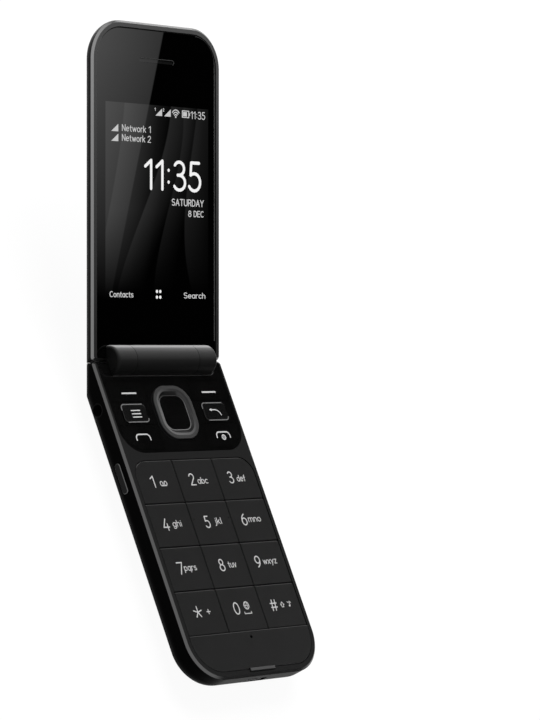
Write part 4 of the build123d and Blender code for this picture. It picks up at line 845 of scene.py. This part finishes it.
# The hash, the arrow of the shift and a note for the ringing tone.
HASH_PEN = 0.34
for x in (13.35, 14.65):
    key_marks["hash"] += stroke([(x, -78.0), (x - 0.4, -81.3)], HASH_PEN)
for y in (-79.05, -80.3):
    key_marks["hash"] += stroke([(12.5, y), (15.1, y)], HASH_PEN)
arrow = ((17.5, -78.9), (18.25, -79.75), (17.9, -79.75), (17.9, -80.45), (17.1, -80.45))
arrow += ((17.1, -79.75), (16.75, -79.75), (17.5, -78.9))
key_marks["hash"] += stroke(arrow, 0.22)
key_marks["hash"] += stroke([(20.75, -80.2), (20.75, -78.85), (21.35, -79.3)], 0.22)
key_marks["hash"] += stroke(bow(20.5, -80.25, 0.2, 0.18, 0, 360, 12), 0.24)
key_marks["hash"] += stroke([(19.9, -78.95), (20.35, -79.35)], 0.2)

key_lettering = ink_or_painted_glint("key_lettering", 205)
for name, marks in key_marks.items():
    key = f"key_{name}"
    lay_marks_or_glints(f"{key}_legend", marks, BASE_PLACE, KEY_LEVEL, key, key_lettering)

# A pale line along the far edge of each key is a painted highlight.
EDGE_PEN = 0.2
NEXT_TO = 0.03                           # a corner so near to the highest or farthest counts
far_edge_glint_grey = grained_plastic("far_edge_glint_grey", 66, 0.42, 0.18, specular=0.1)


def paint_far_edge_glint(name, body):
    """Draws a pale line of painted highlight along the far edge of that piece's top."""
    outline = [(corner.co - HINGE_AXIS) / MM for corner in nodes[name].data.vertices]
    level = max(corner.z for corner in outline)
    top = [corner for corner in outline if corner.z > level - NEXT_TO]
    far = max(corner.y for corner in top)
    straight = [corner.x for corner in top if corner.y > far - NEXT_TO]
    glint_line = stroke([(min(straight) + EDGE_PEN, far), (max(straight) - EDGE_PEN, far)], EDGE_PEN)
    lay_marks_or_glints(f"{name}_edge", glint_line, BASE_PLACE, level, body, far_edge_glint_grey, GLINT_THICKNESS)


for name in NUMBER_KEYS:
    paint_far_edge_glint(f"key_{name}", f"key_{name}")

# A nub at each side of the 5 guides the thumb.
NUB_TALL = 0.16
nubs = []
for x in (-7.06, 7.45):
    nubs += stroke([(x, -51.1), (x, -51.25)], 0.5)
lay_marks_or_glints("key_5_nubs", nubs, BASE_PLACE, KEY_LEVEL, "key_5", key_black, NUB_TALL)

# ---- End panel, microphone hole and lip strip ----------------------------------------------------
# The panel below the keys is the same plastic, glued in, with a drilled hole for the microphone.
# The strip that the lid's tip lands on is grey rubber pressed into a slot.
give_finish(key_black, "keypad_end_panel")
paint_far_edge_glint("keypad_end_panel", "base")
strip_grey = grained_plastic("strip_grey", 24, 0.55, 0.2, specular=0.1)
# Its top face is painted paler than its sides, as painted light.
bare_edge_or_painted_light(strip_grey, 78, UP, 0.8, 0.98, metal=False)
give_finish(strip_grey, "lid_rest_strip")

# ---- Side keys -----------------------------------------------------------------------------------
# Two keys of black plastic stand proud in slots in the side walls, worn round at their edges.
for name, way in (("side_key", (-1, 0, 0)), ("volume_rocker", (1, 0, 0))):
    side_black = grained_plastic(f"{name}_black", 12, 0.3, 0.2, specular=0.1, rounding=0.2)
    bare_edge_or_painted_light(side_black, 82, way, 0.99, 0.9)
    give_finish(side_black, name)

# ---- Hinge ---------------------------------------------------------------------------------------
# Two knuckles on the keypad half and one on the lid form a satin barrel over a spring cartridge
# and a plain pivot. Caps close its ends, and the display cable is rolled up inside.
BARREL_LIT_WAY = (0, 0.905, 0.425)          # the way to the light behind; its painted highlight
# Its grey is painted paler the more a face turns to that way, to a bright band along its top: a
# painted highlight, with painted shade down its front.
BARREL_LIT_GREYS = ((0.0, 30), (0.25, 44), (0.45, 56), (0.62, 66), (0.75, 88), (0.81, 106), (0.9, 165))
barrel_black = grained_plastic("barrel_black", 56, 0.4, 0.14, specular=0.05)
tree = barrel_black.node_tree
painted_highlight = grey_ramp(tree, how_squarely(tree, BARREL_LIT_WAY), *BARREL_LIT_GREYS)
tree.links.new(painted_highlight, tree.nodes["Principled BSDF"].inputs["Base Color"])
give_finish(barrel_black, "hinge_knuckle_left", "hinge_knuckle_right", "hinge_knuckle_centre")
cap_black = grained_plastic("cap_black", 20, 0.5, 0.14, specular=0.1)
blued_steel = drawn_metal("blued_steel", 26, 0.4, 0.3)
give_finish(cap_black, "hinge_end_caps")
give_finish(blued_steel, "hinge_cartridge", "hinge_pivot")
give_finish(board_green, "hinge_flex_roll")

# ---- Lid frame and inner glass -------------------------------------------------------------------
# The lid's frame is grained like the base and has the same bright-cut bevel. The glass is printed
# black from behind, with a clear window over the display, and glued into the frame.
LEAN = radians(25.5)
LID_PLACE = Matrix.Translation(HINGE_AXIS) @ Matrix.Rotation(LEAN, 4, "X") @ Matrix.Scale(MM, 4)
LID_FRONT = (0, -sin(LEAN), cos(LEAN))
GLASS_LEVEL = -0.75
# The lid's frame is painted paler than the base's, as painted light on its tilted face, and its
# walls darker than its face, as painted shade.
lid_frame_black = grained_frame("lid_frame_black", LID_FRONT, 62, 120, 86, 0.045)
# Faces that turn to the lid's far end are painted pale, as a painted highlight.
bare_edge_or_painted_light(lid_frame_black, 96, (0, 1, 0), 0.45, 0.75, metal=False)

# Towards the hinge, between the two heights below up the phone, the frame's coat and its cut
# bevel are painted darker, to these shares of their greys, as painted shade.
HINGE_SHADE_START, HINGE_SHADE_END = 0.058, 0.138
COAT_SHADE_SHARE, CUT_SHADE_SHARE = 0.28, 0.72
tree = lid_frame_black.node_tree
shader = tree.nodes["Principled BSDF"]
light = new_node(tree, "ShaderNodeMix", data_type="FLOAT")
tree.links.new(shader.inputs["Metallic"].links[0].from_socket, light.inputs["Factor"])
for socket, left in (("A", COAT_SHADE_SHARE), ("B", CUT_SHADE_SHARE)):
    share = map_to(tree, place_of(tree, "Object")[1], left, 1, HINGE_SHADE_START, HINGE_SHADE_END)
    tree.links.new(share, light.inputs[socket])
hinge_shaded = new_node(tree, "ShaderNodeMix", data_type="RGBA", blend_type="MULTIPLY")
hinge_shaded.inputs["Factor"].default_value = 1.0
tree.links.new(shader.inputs["Base Color"].links[0].from_socket, hinge_shaded.inputs[6])
tree.links.new(light.outputs["Result"], hinge_shaded.inputs[7])
tree.links.new(hinge_shaded.outputs[2], shader.inputs["Base Color"])

glass_black = polished_acrylic("glass_black", 1, 0.0, peel_depth=0.0)
give_finish(lid_frame_black, "lid_inner_frame")
give_finish(glass_black, "inner_glass", "main_display")

# A thin pale line along the glass's right and far side is a painted highlight of its edge.
GLASS_NEAR, GLASS_FAR, GLASS_RIGHT, GLASS_CORNER = 6.0, 98.0, 24.98, 8.6
bend_middle = GLASS_RIGHT - GLASS_CORNER, GLASS_FAR - GLASS_CORNER
edge_line = [(GLASS_RIGHT, GLASS_NEAR), *bow(*bend_middle, GLASS_CORNER, GLASS_CORNER, 0, 88)]
GLASS_EDGE, SLOT_EDGE = 0.3, 0.2         # widths of the pale lines
glass_glint_grey = grained_plastic("glass_glint_grey", 92, 0.3, 0.1, specular=0.1)
glass_glint_line = stroke(edge_line, GLASS_EDGE)
lay_marks_or_glints("glass_edge_glint", glass_glint_line, LID_PLACE, GLASS_LEVEL, "lid", glass_glint_grey, GLINT_THICKNESS)

# ---- Main display --------------------------------------------------------------------------------
# A lit panel is bonded behind the glass's window. The picture is a plain set of soft folds, and
# the marks on it are drawn as thin lit layers.
WINDOW_LEFT, WINDOW_RIGHT, WINDOW_NEAR, WINDOW_FAR = -21.4, 22.3, 18.6, 76.2

# Each fold: where it starts across the window, its slope, its bend and its double bend up the
# window, how far it fades, and how bright it is.
WALLPAPER_FOLDS = (
    (-0.34, 0.30, 0.10, -0.10, 0.70, 0.030),
    (-0.10, 0.22, 0.30, -0.24, 0.34, 0.016),
    (0.10, 0.35, 0.80, -0.62, 0.26, 0.016),
    (0.46, 0.02, 0.95, -0.68, 0.20, 0.008),
    (0.86, -0.62, 1.15, -0.50, 0.30, 0.010),
)
FOLD_SHARP = 0.006                       # half of the blur of a fold's sharp side
LOW_LIGHT = (0.02, 0.45)                 # the folds come up out of the dark over this height


def wallpaper_of(name):
    """A lit display that shows folds of smoke grey on black, each sharp along one side."""
    material, tree, shader = new_finish(name)
    shader.inputs["Roughness"].default_value = 0.0
    shader.inputs["Base Color"].default_value = grey(1)
    across, up = place_of(tree, "Generated")
    up_square = do_math(tree, "MULTIPLY", up, up)
    up_cube = do_math(tree, "MULTIPLY", up_square, up)
    total = None
    for start, slope, bend, double_bend, fading, brightness in WALLPAPER_FOLDS:
        crest = do_math(tree, "MULTIPLY_ADD", up, slope, start)
        crest = do_math(tree, "MULTIPLY_ADD", up_square, bend, crest)
        crest = do_math(tree, "MULTIPLY_ADD", up_cube, double_bend, crest)
        beyond = do_math(tree, "SUBTRACT", across, crest)
        fade = map_to(tree, beyond, brightness, 0, 0, fading)
        sharp = map_to(tree, beyond, 0, 1, -FOLD_SHARP, FOLD_SHARP)
        fold = do_math(tree, "MULTIPLY", fade, sharp)
        total = fold if total is None else do_math(tree, "ADD", total, fold)
    total = do_math(tree, "MULTIPLY", total, map_to(tree, up, 0, 1, *LOW_LIGHT))
    tree.links.new(total, shader.inputs["Emission Color"])
    shader.inputs["Emission Strength"].default_value = 1.0
    return material


picture = bar(
    (WINDOW_LEFT + WINDOW_RIGHT) / 2,
    (WINDOW_NEAR + WINDOW_FAR) / 2,
    WINDOW_RIGHT - WINDOW_LEFT,
    WINDOW_FAR - WINDOW_NEAR,
)
wallpaper = wallpaper_of("display_wallpaper")
lay_marks_or_glints("display_picture", picture, LID_PLACE, GLASS_LEVEL, "lid", wallpaper)

# The lit marks: the time and the day, with signal, radio and charge marks. Along the bottom stand
# two words and four dots for the keys below.
PICTURE_LEVEL = GLASS_LEVEL + INK
lit_white = ink_or_painted_glint("lit_white", 246, 0.1, glow=1.0)
lit_soft = ink_or_painted_glint("lit_soft", 196, 0.1, glow=1.0)


def light_up(name, marks, ink):
    """Lit marks on the picture."""
    lay_marks_or_glints(name, marks, LID_PLACE, PICTURE_LEVEL, "lid", ink)


clock_marks = write("11:35", -5.5, 19.2, 50.75, 9.4, 0.95)
for x in (0.1, 1.5):
    for y in (18.9, 20.6):
        clock_marks += stroke(bow(x, y, 0.24, 0.24, 0, 360, 12), 0.46)
light_up("display_clock", clock_marks, lit_white)

small_marks = write("11:35", 14.5, 20.9, 72.95, 2.35, 0.27)
small_marks += write("SATURDAY", 6.4, 20.3, 46.45, 2.15, 0.3)
small_marks += write("8 DEC", 13.5, 20.3, 43.3, 1.95, 0.27)
for x, y, digit, digit_x in ((-0.5, 73.1, "1", -1.0), (3.2, 73.1, "2", 2.6)):
    small_marks += wedge(x, y, 2.75, 2.2)
    small_marks += write(digit, digit_x, digit_x + 0.55, y + 1.4, 0.95, 0.15)
for baseline, words in ((67.75, "Network 1"), (64.85, "Network 2")):
    small_marks += wedge(-19.0, baseline - 0.2, 2.85, 2.2)
    small_marks += write(words, -14.6, -2.5, baseline, 2.05, 0.22)
RADIO_X, RADIO_Y = 8.1, 73.2
for reach in (0.6, 1.2, 1.8):
    small_marks += stroke(bow(RADIO_X, RADIO_Y, reach, reach * 1.15, 142, 38, 8), 0.3)
small_marks += stroke([(RADIO_X, RADIO_Y - 0.1), (RADIO_X, RADIO_Y)], 0.5)
battery_outline = ((10.95, 73.25), (13.75, 73.25), (13.75, 75.2), (10.95, 75.2), (10.95, 73.25))
small_marks += stroke(battery_outline, 0.26)
small_marks += bar(12.1, 74.22, 1.6, 1.3)
small_marks += bar(14.05, 74.22, 0.3, 0.8)
small_marks += write("Contacts", -19.7, -9.9, 18.65, 1.8, 0.22)
small_marks += write("Search", 11.6, 20.9, 18.65, 1.8, 0.22)
light_up("display_marks", small_marks, lit_soft)

# ---- Inside of the lid ---------------------------------------------------------------------------
# The lid's own board, the camera and a magnet that the base's sensor feels are clipped behind the
# frame. The earpiece's mesh stands in a slot of the glass, and a pale line along the slot's far
# edge is a painted highlight.
SLOT_RIGHT, SLOT_FAR, SLOT_BEND = 6.6, 89.95, 0.68
mesh_black = polished_acrylic("mesh_black", 26, 0.0, peel_depth=0.0)
give_finish(board_green, "lid_board")
give_finish(inner_black, "camera_module")
give_finish(stamped_steel, "closing_magnet")
give_finish(mesh_black, "earpiece")
slot_glint_grey = grained_plastic("slot_glint_grey", 62, 0.3, 0.1, specular=0.1)
slot_bend = bow(SLOT_RIGHT, 89.3, SLOT_BEND, SLOT_BEND, 80, -70, 8)
slot_edge = stroke([(-SLOT_RIGHT, SLOT_FAR), (SLOT_RIGHT, SLOT_FAR), *slot_bend], SLOT_EDGE)
lay_marks_or_glints(
    "earpiece_edge_glint", slot_edge, LID_PLACE, GLASS_LEVEL, "lid", slot_glint_grey, GLINT_THICKNESS
)

# ---- Lid shell and outer panel -------------------------------------------------------------------
# The lid's back is one soft-touch moulding. A curved panel of piano-black acrylic is glued into
# its hinge end, over the outer display and the camera.
shell_black = grained_plastic("shell_black", 26, 0.5, FRAME_GRAIN, specular=0.08)
panel_black = polished_acrylic("panel_black", 4, 0.05)
give_finish(shell_black, "lid_outer_shell")
give_finish(panel_black, "outer_panel", "outer_display")
give_finish(glass_black, "camera_window")

# The outer display's marks stand upright when the phone is shut: there y falls towards the tip.
BACK_PLACE = LID_PLACE @ Matrix.Rotation(pi, 4, "X")
BACK_LEVEL = 7.0
outer_marks = write("11:35", -8.95, 8.95, -31.2, 6.8, 0.6)
outer_marks += write("SATURDAY 8 DEC", -7.9, 7.9, -37.25, 1.8, 0.24)
lay_marks_or_glints(
    "outer_display_marks", outer_marks, BACK_PLACE, BACK_LEVEL, "lid", lit_white
)
